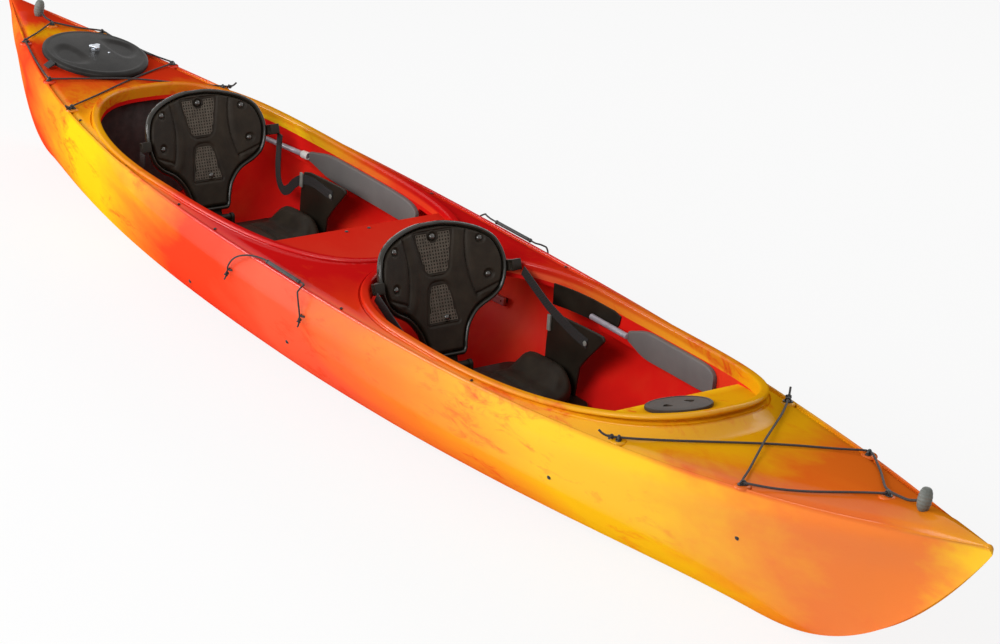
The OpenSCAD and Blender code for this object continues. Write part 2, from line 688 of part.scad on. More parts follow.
// Straps: [along from the hinge, height above the pan], taut in front and hanging slack behind
taut_route = [[-38, 268], [4, 248], [60, 222], [98, 206], [160, 188], [215, 174], [268, 166]];
slack_route = [[-42, 268], [-46, 220], [-48, 165], [-40, 122], [-14, 100], [18, 112], [52, 142], [100, 168],
    [160, 176], [215, 172], [268, 168]];
module straps(hinge_x, route) {
    color("black") both_sides() webbing([for (p = route) [hinge_x + p[0], strap_y, pan_top + p[1]]]);
}

module strap_locks(hinge_x) {
    edge = back_w / 2;
    wide = 30;
    deep = 36;
    arm = 18;
    color([0.1, 0.1, 0.1]) back_frame(hinge_x) both_sides()
        translate([face_depth(edge) - pad_t - shell_t, edge + gap, lock_v - wide / 2]) difference() {
            union() {
                cube([deep, 10, wide]);
                translate([arm, 0, 0]) cube([deep - arm, lock_out - edge - gap, wide]);
            }
            for (x = [arm + 3, arm + 10]) translate([x, -1, 4]) cube([4, lock_out, wide - 8]);
        }
}

module hip_fittings(hinge_x, lift) {
    tab = [hip_h * 0.057, 6, hip_h * 0.19];
    color("silver") both_sides() translate([hinge_x, hip_in - gap, pan_top]) {
        translate([hip_aft + hip_len * 0.11, -tab[1] - lift, hip_h * 0.63]) cube(tab);
        translate([hip_aft + hip_len * 0.85, -strap_t - 2 * gap, hip_h * 0.72]) rotate([90, 0, 0])
            cylinder(r = strap_w * 0.28, h = 3);
    }
}

// Thigh pads lie against the coaming's skirt, with rounded ends
function thigh_ring(pit, x, h) = let(
    out = pit_y(pit, x) - coaming_in - 4 * gap,
    middle_z = rim_z(pit, x) - thigh_drop - thigh_h / 2)
    [[x, out, middle_z - h / 2], [x, out, middle_z + h / 2], [x, out - thigh_t + 2, middle_z + h / 2],
        [x, out - thigh_t, middle_z + h / 2 - 3], [x, out - thigh_t, middle_z - h / 2 + 3],
        [x, out - thigh_t + 2, middle_z - h / 2]];
// Share of the pad's height along its length: narrow at the aft end, full and rounded in front
thigh_shape = [[0, 0.38], [0.05, 0.55], [0.14, 0.86], [0.24, 1], [0.45, 1], [0.65, 1], [0.85, 0.98],
    [0.94, 0.86], [0.985, 0.6], [1, 0.35]];
module thigh_pads(pit, aft, length) {
    color("gray") both_sides() skin([for (p = thigh_shape) thigh_ring(pit, aft + p[0] * length, p[1] * thigh_h)]);
}

module rod(from, to, d, bore = 0) {
    run = to - from;
    turn = atan2(run[1], run[0]);
    dip = atan2(-run[2], norm([run[0], run[1]]));
    translate(from) rotate([0, 90 + dip, turn]) difference() {
        cylinder(d = d, h = norm(run));
        if (bore > 0) translate([0, 0, -1]) cylinder(d = bore, h = norm(run) + 2);
    }
}

function tube_z(pit, x) = rim_z(pit, x) - thigh_drop - thigh_h / 2;
function skirt_y(pit, x) = pit_y(pit, x) - coaming_in;
tube_len = 160;
rear_tube_len = 240;
plate_t = 5;
plate_len = 120;
plate_h = 66;
rivet_in = 16;
rivet_r = 5;
rivet_h = 2.5;
plate_aft = front_thigh_at - tube_len - 30;
plate_y = skirt_y(front_pit, plate_aft) - plate_t - 3 * gap;
module front_tubes() {
    y = plate_y - tube_d / 2 - gap;
    z = tube_z(front_pit, front_thigh_at);
    color("slategray") both_sides() rod([front_thigh_at - tube_len, y, z], [front_thigh_at - gap, y, z], tube_d);
}

end_len = 28;
end_wall = 4;
function rear_tube_at(x) = [x, skirt_y(rear_pit, x) - tube_d / 2 - end_wall - 4 * gap,
    tube_z(rear_pit, rear_thigh_at)];
rear_tube_from = rear_tube_at(rear_thigh_at - rear_tube_len);
rear_tube_to = rear_tube_at(rear_thigh_at - 2);
rear_tube_run = unit(rear_tube_to - rear_tube_from);
module rear_tubes() {
    color("lightgray") both_sides() rod(rear_tube_from, rear_tube_to - 4 * rear_tube_run, tube_d);
}

// White end pieces on the rear tubes, against the pads' aft ends
module tube_ends() {
    color("white") both_sides() {
        rod(rear_tube_to - end_len * rear_tube_run, rear_tube_to, tube_d + 2 * end_wall, tube_d + 0.4);
    }
}

// Plates on the front coaming's skirt that hold the tubes
module wall_plates() {
    z = tube_z(front_pit, front_thigh_at);
    color("black") both_sides() translate([plate_aft, plate_y, z - plate_h / 4]) {
        cube([plate_len, plate_t, plate_h]);
        for (x = [rivet_in, plate_len - rivet_in]) translate([x, 0, plate_h - rivet_in]) rotate([90, 0, 0])
            cylinder(r = rivet_r, h = rivet_h);
    }
}

// Foot braces: rails between two points on the hull's inside wall, with spacers and screws
rail_stand = 14;
rail_pairs = [[along(front_rail_x), 190, 246], [along(rear_rail_x), 125, 150]];
function rail_end(x, z) = [x, side_half(x, z, hull_wall) - rail_stand, z];
function rail_from(p) = rail_end(p[0], p[1]);
function rail_to(p) = rail_end(p[0] + along(rail_span), p[2]);
module rail_frame(p) {
    run = rail_to(p) - rail_from(p);
    translate(rail_from(p)) rotate([0, -atan2(run[2], norm([run[0], run[1]])), atan2(run[1], run[0])]) children();
}
function rail_len(p) = norm(rail_to(p) - rail_from(p));
rail_screw_r = 3;

module foot_rails() {
    color("lightgray") both_sides() for (p = rail_pairs) {
        difference() {
            rail_frame(p) translate([-12, -rail_t / 2, -rail_h / 2]) cube([rail_len(p) + 24, rail_t, rail_h]);
            for (e = [rail_from(p), rail_to(p)]) translate(e - [0, 20, 0]) rotate([-90, 0, 0])
                cylinder(r = rail_screw_r + gap, h = 40);
        }
    }
}

module rail_screws() {
    color("black") both_sides() for (p = rail_pairs, e = [rail_from(p), rail_to(p)]) {
        out = side_half(e[0], e[2]);
        translate([e[0], e[1] - rail_t / 2, e[2]]) rotate([-90, 0, 0]) {
            cylinder(r = rail_screw_r, h = out - e[1] + rail_t / 2);
            translate([0, 0, out - e[1] + rail_t / 2 - 1]) cylinder(r1 = 7, r2 = 4, h = 3.5);
            translate([0, 0, rail_t + 2]) cylinder(r = 8, h = out - e[1] - rail_t / 2 - hull_wall - 2);
        }
    }
}

module pedal(p) {
    at = rail_len(p) / 2;
    color([0.1, 0.1, 0.1]) rail_frame(p) translate([at, 0, 0]) {
        difference() {
            translate([-28, -rail_t / 2 - 15, -rail_h / 2 - 6]) cube([56, rail_t + 14, rail_h + 12]);
            translate([-30, -rail_t / 2 - gap, -rail_h / 2 - gap]) cube([60, rail_t + 30, rail_h + 2 * gap]);
        }
        translate([-7, -rail_t / 2 - pedal_reach, -36]) cube([14, pedal_reach - 14, 84]);
    }
}
module front_port_pedal() { pedal(rail_pairs[0]); }
module front_starboard_pedal() { mirror([0, 1, 0]) pedal(rail_pairs[0]); }
module rear_port_pedal() { pedal(rail_pairs[1]); }
module rear_starboard_pedal() { mirror([0, 1, 0]) pedal(rail_pairs[1]); }

// A pad eye: flat base with an arch for the cord
module pad_eye() {
    arch_w = 6;
    difference() {
        union() {
            translate([-eye_len / 2, -7, 0]) cube([eye_len, 14, 3]);
            translate([-9, -arch_w / 2, 0]) cube([18, arch_w, eye_h - 5]);
            translate([0, arch_w / 2, eye_h - 9]) rotate([90, 0, 0]) cylinder(r = 9, h = arch_w);
        }
        translate([0, 8, 7]) rotate([90, 0, 0]) cylinder(r = bungee_d / 2 + 2.2, h = 16);
        translate([-eye_len, -10, -20]) cube([2 * eye_len, 20, 20]);
    }
}
module pad_eyes() {
    color([0.08, 0.08, 0.08]) {
        for (p = deck_eyes) translate([p[0], p[1], boss_top(p) + gap / 2]) rotate([0, 0, p[2]]) pad_eye();
        both_sides() for (p = side_eyes) translate([p[0], side_seat(p) + gap / 2, p[1]])
            rotate([-90, 0, 0]) pad_eye();
    }
}

// A round cord along points [x, y, z, radius], eased through them
function ease(p, i, u) = let(
    a = p[max(i - 1, 0)],
    b = p[i],
    c = p[i + 1],
    d = p[min(i + 2, len(p) - 1)])
    0.5 * (2 * b + (c - a) * u + (2 * a - 5 * b + 4 * c - d) * u * u + (3 * b - a - 3 * c + d) * u * u * u);
function eased(p, cuts) = concat([for (i = [0:len(p) - 2], k = [0:cuts - 1]) ease(p, i, k / cuts)], [p[len(p) - 1]]);
function spot(p) = [p[0], p[1], p[2]];
module cord(pts) {
    sides = 8;
    line = [for (p = pts) spot(p)];
    skin([for (i = [0:len(pts) - 1]) let(
        run = run_at(line, i),
        a = unit(cross3(run, abs(run[2]) > 0.9 ? [1, 0, 0] : [0, 0, 1])),
        b = cross3(run, a))
        [for (k = [0:sides - 1]) line[i] + pts[i][3] * (a * cos(360 * k / sides) + b * sin(360 * k / sides))]]);
}
// Deck routes: [along, across, height over the deck, share of the cord's radius]
function over_deck(route) = [for (p = route)
    let(x = along(p[0]), y = across(p[1])) [x, y, deck_z(x, y) + p[2], p[3] * bungee_d / 2]];

front_route = [[1352, -285, 26, 1], [1360, -277, 16, 1], [1372, -265, 10, 1.9], [1386, -251, 10.5, 1], [1402, -235, 9, 1],
    [1460, -172, 5, 1], [1530, -88, 5, 1], [1593, -14, 5, 1], [1650, 54, 5, 1], [1710, 128, 6, 1],
    [1744, 172, 10, 1], [1758, 184, 10.5, 1], [1778, 178, 10, 1], [1830, 146, 6, 1], [1890, 104, 5, 1], [1980, 34, 7, 1],
    [2022, 10, 10, 1], [2027, 0, 10.5, 1], [2022, -10, 10, 1], [1980, -34, 7, 1], [1890, -104, 5, 1], [1830, -146, 6, 1],
    [1778, -178, 10, 1], [1758, -184, 10.5, 1], [1744, -172, 10, 1], [1710, -128, 7, 1], [1650, -54, 10, 1],
    [1593, 14, 11.5, 1], [1530, 88, 8, 1], [1460, 172, 6, 1], [1402, 235, 9, 1], [1386, 251, 10.5, 1], [1372, 265, 10, 1.9],
    [1360, 277, 16, 1], [1352, 285, 26, 1]];
rear_route = [[-1364, -292, 26, 1], [-1370, -284, 16, 1], [-1377, -275, 11, 1.9], [-1389, -258, 10.5, 1], [-1400, -240, 9, 1],
    [-1450, -140, 5, 1], [-1520, -6, 5, 1], [-1580, 108, 5, 1], [-1622, 199, 10, 1], [-1634, 212, 10.5, 1],
    [-1652, 212, 10, 1], [-1720, 196, 6, 1], [-1820, 172, 5, 1], [-1910, 149, 6, 1], [-1950, 140, 10, 1],
    [-1962, 134, 10.5, 1], [-1972, 122, 10, 1], [-2006, 70, 6, 1], [-2044, 12, 10, 1], [-2050, 0, 10.5, 1],
    [-2044, -12, 10, 1], [-2006, -70, 6, 1], [-1972, -122, 10, 1], [-1962, -134, 10.5, 1], [-1950, -140, 10, 1],
    [-1910, -149, 6, 1], [-1820, -172, 5, 1], [-1720, -196, 6, 1], [-1652, -212, 10, 1], [-1634, -212, 10.5, 1],
    [-1622, -199, 10, 1], [-1580, -108, 8, 1], [-1520, 6, 11.5, 1], [-1450, 140, 8, 1], [-1400, 240, 9, 1],
    [-1389, 258, 10.5, 1], [-1377, 275, 11, 1.9], [-1370, 284, 16, 1], [-1364, 292, 26, 1]];
module front_bungee() { color([0.15, 0.1, 0.1]) cord(eased(over_deck(front_route), 2)); }
module rear_bungee() { color([0.15, 0.1, 0.1]) cord(eased(over_deck(rear_route), 2)); }

// Paddle keepers: a cord on each side that runs up over the deck edge through a sleeve
keeper_r = 2.4;
sleeve_x = along(54);
bead_r = 6;
sleeve_z = sheer_mid + bead_r + 1.6;
sleeve_y = hull_beam / 2 - 9;
// Keeper ends: [along from the side eye, out from the widest beam, up from the sheer line, share of the radius]
keeper_up = [[-13, 15, -95, 1], [-7, 13, -85, 1.8], [0, 10, -64, 1], [5, 10, -51, 1], [31, 9, -23, 1], [65, 7, -2, 1],
    [97, -1, 7, 1]];
keeper_down = [[-20, 1, 6, 1], [-10, 8, -7, 1], [-3, 9, -35, 1], [0, 10, -51, 1], [0, 10, -64, 1], [-2, 13, -84, 1.8],
    [-6, 15, -95, 1]];
function keeper_line(route, x) = [for (p = route)
    [x + p[0], hull_beam / 2 + p[1], sheer_mid + p[2], p[3] * keeper_r]];
module keeper_cords() {
    reach = sleeve_len / 2 + 2 * bead_r + 18;
    straight = [for (x = [-reach, -sleeve_len / 2, 0, sleeve_len / 2, reach])
        [sleeve_x + x, sleeve_y, sleeve_z, keeper_r]];
    color([0.1, 0.1, 0.1]) both_sides() cord(eased(concat(keeper_line(keeper_up, side_eyes[0][0]), straight,
        keeper_line(keeper_down, side_eyes[1][0])), 2));
}
module keeper_sleeves() {
    color([0.2, 0.2, 0.2]) both_sides() rod([sleeve_x - sleeve_len / 2, sleeve_y, sleeve_z],
        [sleeve_x + sleeve_len / 2, sleeve_y, sleeve_z], sleeve_d, 2 * keeper_r + 1);
}
module keeper_beads() {
    color([0.08, 0.08, 0.08]) both_sides() for (side = [1, -1])
        translate([sleeve_x + side * (sleeve_len / 2 + bead_r + gap), sleeve_y, sleeve_z]) rotate([0, 90, 0])
            rotate_extrude() polygon(concat([[keeper_r + 0.8, -0.8 * bead_r]],
                [for (a = [-50:20:50]) [bead_r * cos(a), bead_r * sin(a)]], [[keeper_r + 0.8, 0.8 * bead_r]]));
}

// Carry toggles: a barrel on a short cord at each end
module toggle(x, lean) {
    color([0.45, 0.46, 0.42]) translate([x, 0, deck_z(x, 0) + toggle_len / 2 + 1.5]) rotate([lean, 0, 0])
        rotate_extrude() polygon([for (a = [-90:15:90])
            [0.72 * toggle_d / 2 * pow(cos(a), 0.5) + 0.28 * toggle_d / 2 * cos(a), toggle_len / 2 * sin(a)]]);
}
toggle_x = along(2142);
module bow_toggle() { toggle(toggle_x, -10); }
module stern_toggle() { toggle(-toggle_x, -10); }
// Loops from the end eyes to the toggles: [share of the way, height over the deck]
loop_r = 3.2;
loop_route = [[0, 13], [0.28, 11], [0.6, 10], [0.85, 14], [1, 19]];
module carry_loop(from, to) {
    color("black") cord(eased([for (p = loop_route) let(x = from + (to - from) * p[0])
        [x, 0, deck_z(x, 0) + p[1], loop_r]], 2));
}
module bow_loop() { carry_loop(along(front_eyes[4][0]) + 9, toggle_x - toggle_d / 2); }
module stern_loop() { carry_loop(along(rear_eyes[6][0]) - 9.6, toggle_d / 2 - toggle_x); }

module front_seat_base() { seat_base(along(front_hinge_x)); }
module front_cushion() { seat_cushion(along(front_hinge_x)); }
module front_back_shell() { back_shell(along(front_hinge_x)); }
module front_back_pad() { back_pad(along(front_hinge_x)); }
module front_back_mesh() { back_mesh(along(front_hinge_x)); }
module front_back_studs() { back_studs(along(front_hinge_x)); }
module front_back_bracket() { back_bracket(along(front_hinge_x)); }
module front_hinge_pin() { hinge_pin(along(front_hinge_x)); }
module front_hip_plates() { hip_plates(along(front_hinge_x)); }
module front_straps() { straps(along(front_hinge_x), taut_route); }
module front_strap_locks() { strap_locks(along(front_hinge_x)); }
module front_hip_fittings() { hip_fittings(along(front_hinge_x), 0); }
module rear_seat_base() { seat_base(along(rear_hinge_x)); }
module rear_cushion() { seat_cushion(along(rear_hinge_x)); }
module rear_back_shell() { back_shell(along(rear_hinge_x)); }
module rear_back_pad() { back_pad(along(rear_hinge_x)); }
module rear_back_mesh() { back_mesh(along(rear_hinge_x)); }
module rear_back_studs() { back_studs(along(rear_hinge_x)); }
module rear_back_bracket() { back_bracket(along(rear_hinge_x)); }
module rear_hinge_pin() { hinge_pin(along(rear_hinge_x)); }
module rear_hip_plates() { hip_plates(along(rear_hinge_x)); }
module rear_straps() { straps(along(rear_hinge_x), slack_route); }
module rear_strap_locks() { strap_locks(along(rear_hinge_x)); }
module rear_hip_fittings() { hip_fittings(along(rear_hinge_x), strap_t + 2 * gap); }
module front_thigh_pads() { thigh_pads(front_pit, front_thigh_at, front_thigh_len); }
module rear_thigh_pads() { thigh_pads(rear_pit, rear_thigh_at, rear_thigh_len); }

hull_shell();
rear_bulkhead();
bow_float();
hatch_cover();
hatch_gasket();
hatch_knob();
hatch_screw();
hatch_tabs();
dash_lid();
dash_cup();
bridge_rivets();
front_seat_base();
front_cushion();
front_back_shell();
front_back_pad();
front_back_mesh();
front_back_studs();
front_back_bracket();
front_hinge_pin();
front_hip_plates();
front_straps();
front_strap_locks();
front_hip_fittings();
rear_seat_base();
rear_cushion();
rear_back_shell();
rear_back_pad();
rear_back_mesh();
rear_back_studs();
rear_back_bracket();
rear_hinge_pin();
rear_hip_plates();
rear_straps();
rear_strap_locks();
rear_hip_fittings();
front_thigh_pads();
rear_thigh_pads();
front_tubes();
rear_tubes();
tube_ends();
wall_plates();
foot_rails();
front_port_pedal();
front_starboard_pedal();
rear_port_pedal();
rear_starboard_pedal();
rail_screws();
pad_eyes();
front_bungee();
rear_bungee();
keeper_cords();
keeper_sleeves();
keeper_beads();
bow_toggle();
bow_loop();
stern_toggle();
stern_loop();
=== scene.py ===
import json
import math

import bmesh
import bpy
import numpy as np
from mathutils import Matrix, Vector

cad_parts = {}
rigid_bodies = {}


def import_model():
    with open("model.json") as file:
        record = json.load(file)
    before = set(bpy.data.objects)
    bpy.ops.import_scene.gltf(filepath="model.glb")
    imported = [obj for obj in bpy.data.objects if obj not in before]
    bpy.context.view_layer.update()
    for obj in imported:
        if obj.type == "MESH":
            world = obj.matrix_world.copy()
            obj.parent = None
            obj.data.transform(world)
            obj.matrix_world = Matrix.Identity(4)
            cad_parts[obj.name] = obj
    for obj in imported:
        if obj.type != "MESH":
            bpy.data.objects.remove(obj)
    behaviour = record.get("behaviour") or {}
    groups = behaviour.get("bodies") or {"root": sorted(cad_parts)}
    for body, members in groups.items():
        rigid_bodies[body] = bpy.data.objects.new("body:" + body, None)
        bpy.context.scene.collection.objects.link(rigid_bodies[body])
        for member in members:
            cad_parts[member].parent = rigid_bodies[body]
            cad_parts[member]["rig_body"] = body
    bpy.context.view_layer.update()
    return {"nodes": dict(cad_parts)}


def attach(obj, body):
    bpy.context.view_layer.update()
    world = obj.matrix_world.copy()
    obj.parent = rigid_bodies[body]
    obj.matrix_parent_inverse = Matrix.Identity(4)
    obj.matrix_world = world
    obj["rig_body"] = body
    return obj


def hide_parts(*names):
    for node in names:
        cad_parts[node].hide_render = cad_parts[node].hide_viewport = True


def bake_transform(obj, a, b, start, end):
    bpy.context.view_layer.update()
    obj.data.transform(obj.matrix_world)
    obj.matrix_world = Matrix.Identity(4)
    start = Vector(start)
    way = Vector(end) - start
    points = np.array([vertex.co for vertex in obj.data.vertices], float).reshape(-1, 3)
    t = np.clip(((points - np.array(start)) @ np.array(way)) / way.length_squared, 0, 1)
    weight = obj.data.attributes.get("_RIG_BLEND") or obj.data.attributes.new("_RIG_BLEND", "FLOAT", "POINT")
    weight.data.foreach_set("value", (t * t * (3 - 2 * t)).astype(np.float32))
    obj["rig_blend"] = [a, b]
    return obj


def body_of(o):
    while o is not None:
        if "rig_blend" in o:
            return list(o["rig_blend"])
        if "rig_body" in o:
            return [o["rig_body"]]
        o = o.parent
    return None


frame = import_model()
nodes = frame["nodes"]

# The studio: a camera high off the starboard bow with a long lens, a pale floor that fades to white where
# the camera sees it, a wide soft lamp off the near side, a low one astern and a weak one on the far side.
azimuth, elevation, roll = (math.radians(a) for a in (54.663, 21.28, 3.455))
camera_distance = 7.736
look_point = Vector((0.511, 0.015, 0.300))
room_level, floor_grey, floor_glow = 0.42, 0.88, 0.86
floor_half, floor_z = 30, -0.001


def new_object(name, data):
    thing = bpy.data.objects.new(name, data)
    bpy.context.scene.collection.objects.link(thing)
    return thing


level_right = Vector((math.cos(azimuth), math.sin(azimuth), 0))
camera_back = Vector((math.sin(azimuth) * math.cos(elevation),
                      -math.cos(azimuth) * math.cos(elevation), math.sin(elevation)))
level_up = camera_back.cross(level_right)
camera_right = math.cos(roll) * level_right + math.sin(roll) * level_up
camera_up = camera_back.cross(camera_right)
camera_turn = Matrix((camera_right, camera_up, camera_back)).transposed().to_4x4()
camera = new_object("photo_camera", bpy.data.cameras.new("photo_camera"))
camera.data.lens = 108
camera.data.sensor_width = 36
camera.data.clip_end = 200
camera.matrix_world = Matrix.Translation(look_point + camera_distance * camera_back) @ camera_turn
bpy.context.scene.camera = camera
bpy.context.scene.view_settings.view_transform = "Standard"


def node_maker(tree):
    """A short way to add a node to a tree and set or link its sockets, by name or as i0, i1 and so on."""
    def add(kind, sets=None, **inputs):
        node = tree.nodes.new(kind)
        for name, value in (sets or {}).items():
            setattr(node, name, value)
        for name, value in inputs.items():
            numbered = name[0] == "i" and name[1:].isdigit()
            socket = node.inputs[int(name[1:]) if numbered else name]
            if isinstance(value, bpy.types.NodeSocket):
                tree.links.new(value, socket)
            else:
                socket.default_value = value
        return node
    return add


def calc(add, operation, *values):
    """The result of one Math node over numbers and sockets."""
    inputs = {f"i{k}": value for k, value in enumerate(values)}
    return add("ShaderNodeMath", {"operation": operation}, **inputs).outputs[0]


def mapped(add, value, low, high, to_low=0.0, to_high=1.0):
    """A value carried from one range to another and held at its ends."""
    return add("ShaderNodeMapRange", i0=value, i1=low, i2=high, i3=to_low, i4=to_high).outputs[0]


def seen_share(add):
    """1 for rays that show the background itself: in the camera, in a shine or through glass."""
    path = add("ShaderNodeLightPath").outputs
    clear = calc(add, "MAXIMUM", path["Is Glossy Ray"], path["Is Transmission Ray"])
    return calc(add, "MAXIMUM", path["Is Camera Ray"], clear)


def bare_nodes(block):
    """An empty node tree for a world or a material; gives its node adder."""
    block.use_nodes = True
    block.node_tree.nodes.clear()
    return node_maker(block.node_tree)


world = bpy.data.worlds.new("studio")
add = bare_nodes(world)
room_light = mapped(add, seen_share(add), 0.0, 1.0, room_level, 1.0)
room = add("ShaderNodeBackground", Color=(1, 1, 1, 1), Strength=room_light)
add("ShaderNodeOutputWorld", Surface=room.outputs[0])
bpy.context.scene.world = world

floor_paint = bpy.data.materials.new("studio_floor")
add = bare_nodes(floor_paint)
matte = add("ShaderNodeBsdfDiffuse", Color=(floor_grey, floor_grey, floor_grey, 1))
glow = add("ShaderNodeEmission", Color=(1, 1, 1, 1), Strength=1.0)
glow_share = calc(add, "MULTIPLY", seen_share(add), floor_glow)
faded = add("ShaderNodeMixShader", i0=glow_share, i1=matte.outputs[0], i2=glow.outputs[0])
add("ShaderNodeOutputMaterial", Surface=faded.outputs[0])
floor_mesh = bpy.data.meshes.new("studio_floor")
floor_corners = [(floor_half * x, floor_half * y, floor_z) for x, y in ((-1, -1), (1, -1), (1, 1), (-1, 1))]
floor_mesh.from_pydata(floor_corners, [], [(0, 1, 2, 3)])
floor_mesh.materials.append(floor_paint)
floor = new_object("studio_floor", floor_mesh)


def soft_lamp(name, place, aim, width, height, power):
    lamp = bpy.data.lights.new(name, "AREA")
    lamp.shape = "RECTANGLE"
    lamp.size = width
    lamp.size_y = height
    lamp.energy = power
    body = new_object(name, lamp)
    body.location = place
    body.rotation_euler = (Vector(aim) - Vector(place)).to_track_quat("-Z", "Y").to_euler()


soft_lamp("key_lamp", (1.6, -5.6, 3.6), (0.1, 0, 0.25), 5.0, 2.4, 265)
soft_lamp("edge_lamp", (-3.3, -3.4, 1.25), (0.4, -0.37, 0.25), 2.2, 1.5, 95)
soft_lamp("far_lamp", (-1.0, 4.2, 3.6), (0.3, 0.1, 0.3), 4.0, 1.6, 45)

# The hull: one rotationally moulded shell of polyethylene, deck, cockpit rims, dash shelf and tray in
# one piece. Sunrise colours of the powder blend along it, with painted shade darkening the deck and a
# painted sheen in part of the sides' pink; the bare inside came out red.
half_len, mid_half, least_half, wall = 2.36, 0.375, 0.009, 0.006
sheer_mid, bow_lift, stern_lift = 0.335, 0.117, 0.105
bow_foot, stern_foot, bow_foot_z, stern_foot_z = 0.70, 0.812, 0.452, 0.440
mid_full, bow_full, stern_full = 2.9, 0.4, 1.3
keel_flat, deck_camber, bow_ridge = 0.062, 0.012, 0.024
pit_half, rim_mid, rim_steps = 0.314, 0.350, 260


def station(x):
    """Share of the half length: 0 amidships, 1 at either end."""
    return np.minimum(1, np.abs(x) / half_len)


def half_beam(x):
    return np.maximum(least_half, mid_half * (1 - station(x) ** 2.6))


def sheer_z(x):
    return sheer_mid + np.where(x > 0, bow_lift, stern_lift) * station(x) ** 3


def keel_z(x):
    foot = np.where(x > 0, bow_foot, stern_foot)
    share = np.maximum(0, (0.994 * station(x) - foot) / (1 - foot))
    return np.where(x > 0, bow_foot_z, stern_foot_z) * share ** 2.2


def fullness(x):
    """The power of the side's curve, high where the section is boxy and low where it is sharp."""
    end_full = np.where(x > 0, bow_full, stern_full)
    return mid_full + (end_full - mid_full) * station(x) ** np.where(x > 0, 1.4, 2)


def flat_half(x):
    return np.maximum(0.0005, np.minimum(keel_flat * (1 - station(x) ** 2), half_beam(x) / 2))


def camber(x):
    ridge_rise = np.where(x > 0, bow_ridge * station(x) ** 5, 0)
    return np.minimum(1, half_beam(x) / 0.060) * (deck_camber + ridge_rise)


def deck_z(x, y):
    power = 2 - np.where(x > 0, 0.8 * station(x) ** 4, 0)
    return sheer_z(x) + camber(x) * (1 - np.minimum(1, np.abs(y) / half_beam(x)) ** power)


def at(function, *values):
    """A shape function at plain numbers."""
    return float(function(*[np.array(v, float) for v in values]))


def run_along(points):
    """Distance along a line of points from its first one."""
    return np.concatenate([[0], np.cumsum(np.linalg.norm(np.diff(points, axis=0), axis=1))])


def spaced(points, count, closed=False):
    """Points the same distance apart along a line of points."""
    run = run_along(points)
    even = np.linspace(0, run[-1], count, endpoint=not closed)
    return np.stack([np.interp(even, run, points[:, k]) for k in range(points.shape[1])], -1)


class Pit:
    """A cockpit's rim. Powers and rises are pairs for its fore and aft end: how square the end is and how
    far the rim rises to it. Brace is the run of the deeper skirt that carries the thigh pads."""

    def __init__(self, middle, fore, aft, powers, rises, brace):
        self.middle, self.fore, self.aft = middle, fore, aft
        self.powers, self.rises, self.brace = powers, rises, brace

    def share(self, x):
        return np.where(x > self.middle, (x - self.middle) / (self.fore - self.middle),
                        (self.middle - x) / (self.middle - self.aft))

    def rim(self, x):
        return rim_mid + np.where(x > self.middle, *self.rises) * np.clip(self.share(x), 0, 1) ** 2.5

    def side(self, x):
        power = np.where(x > self.middle, *self.powers)
        return pit_half * np.maximum(0, 1 - np.clip(self.share(x), 0, 1) ** power) ** (1 / power)

    def outline(self, turns):
        c, s = np.cos(turns), np.sin(turns)
        power = np.where(c > 0, *self.powers)
        reach = np.where(c > 0, self.fore - self.middle, self.middle - self.aft)
        return np.stack([self.middle + reach * np.sign(c) * np.abs(c) ** (2 / power),
                         pit_half * np.sign(s) * np.abs(s) ** (2 / power)], -1)

    def even_outline(self, count):
        """Points the same distance apart round the rim, with their outward directions."""
        points = spaced(self.outline(np.linspace(0, 2 * math.pi, 4001)), count, closed=True)
        along = np.roll(points, -2, 0) - np.roll(points, 2, 0)
        out = np.stack([along[:, 1], -along[:, 0]], -1)
        return points, out / np.linalg.norm(out, axis=1)[:, None]

    def inside(self, x, y):
        power = np.where(x > self.middle, *self.powers)
        return np.clip(self.share(x), 0, 9) ** power + (np.abs(y) / pit_half) ** power < 1


front_pit = Pit(middle=0.546, fore=1.454, aft=0.139, powers=(2.6, 2.1), rises=(0.080, 0.004),
                brace=(0.490, 1.266))
rear_pit = Pit(middle=-0.686, fore=0.090, aft=-1.394, powers=(3, 2.8), rises=(0.003, 0.052),
               brace=(-1.177, -0.317))
pits = (front_pit, rear_pit)
flare_near, flare_far, flare_share = 0.010, 0.032, 0.64


def smooth_step(low, high, value):
    t = np.clip((value - low) / (high - low), 0, 1)
    return t * t * (3 - 2 * t)


def ridge(distance, width):
    """A smooth rise to 1 where the distance is 0, gone a few widths away."""
    return np.exp(-(distance / width) ** 2)


def skirt_flare(x, y, batch=4000):
    """How far the deck sweeps up to the cockpit rims, from the distance to the nearest rim point."""
    flare = np.zeros(x.shape)
    flat_x, flat_y = x.ravel(), y.ravel()
    for pit in pits:
        rim_line = pit.even_outline(900)[0]
        away = np.empty(x.size)
        nearest = np.empty(x.size, int)
        for i in range(0, x.size, batch):
            some = slice(i, i + batch)
            d = np.hypot(flat_x[some, None] - rim_line[:, 0], flat_y[some, None] - rim_line[:, 1])
            nearest[some] = d.argmin(1)
            away[some] = d.min(1)
        away = np.where(pit.inside(flat_x, flat_y), 0, away).reshape(x.shape)
        foot = rim_line[nearest].reshape(x.shape + (2,))
        stand = np.maximum(0, pit.rim(foot[..., 0]) - deck_z(foot[..., 0], foot[..., 1]))
        share = 1 - smooth_step(flare_near, flare_far + 0.9 * stand, away)
        flare = np.maximum(flare, (stand - 0.004) * flare_share * share ** 1.6)
    return flare


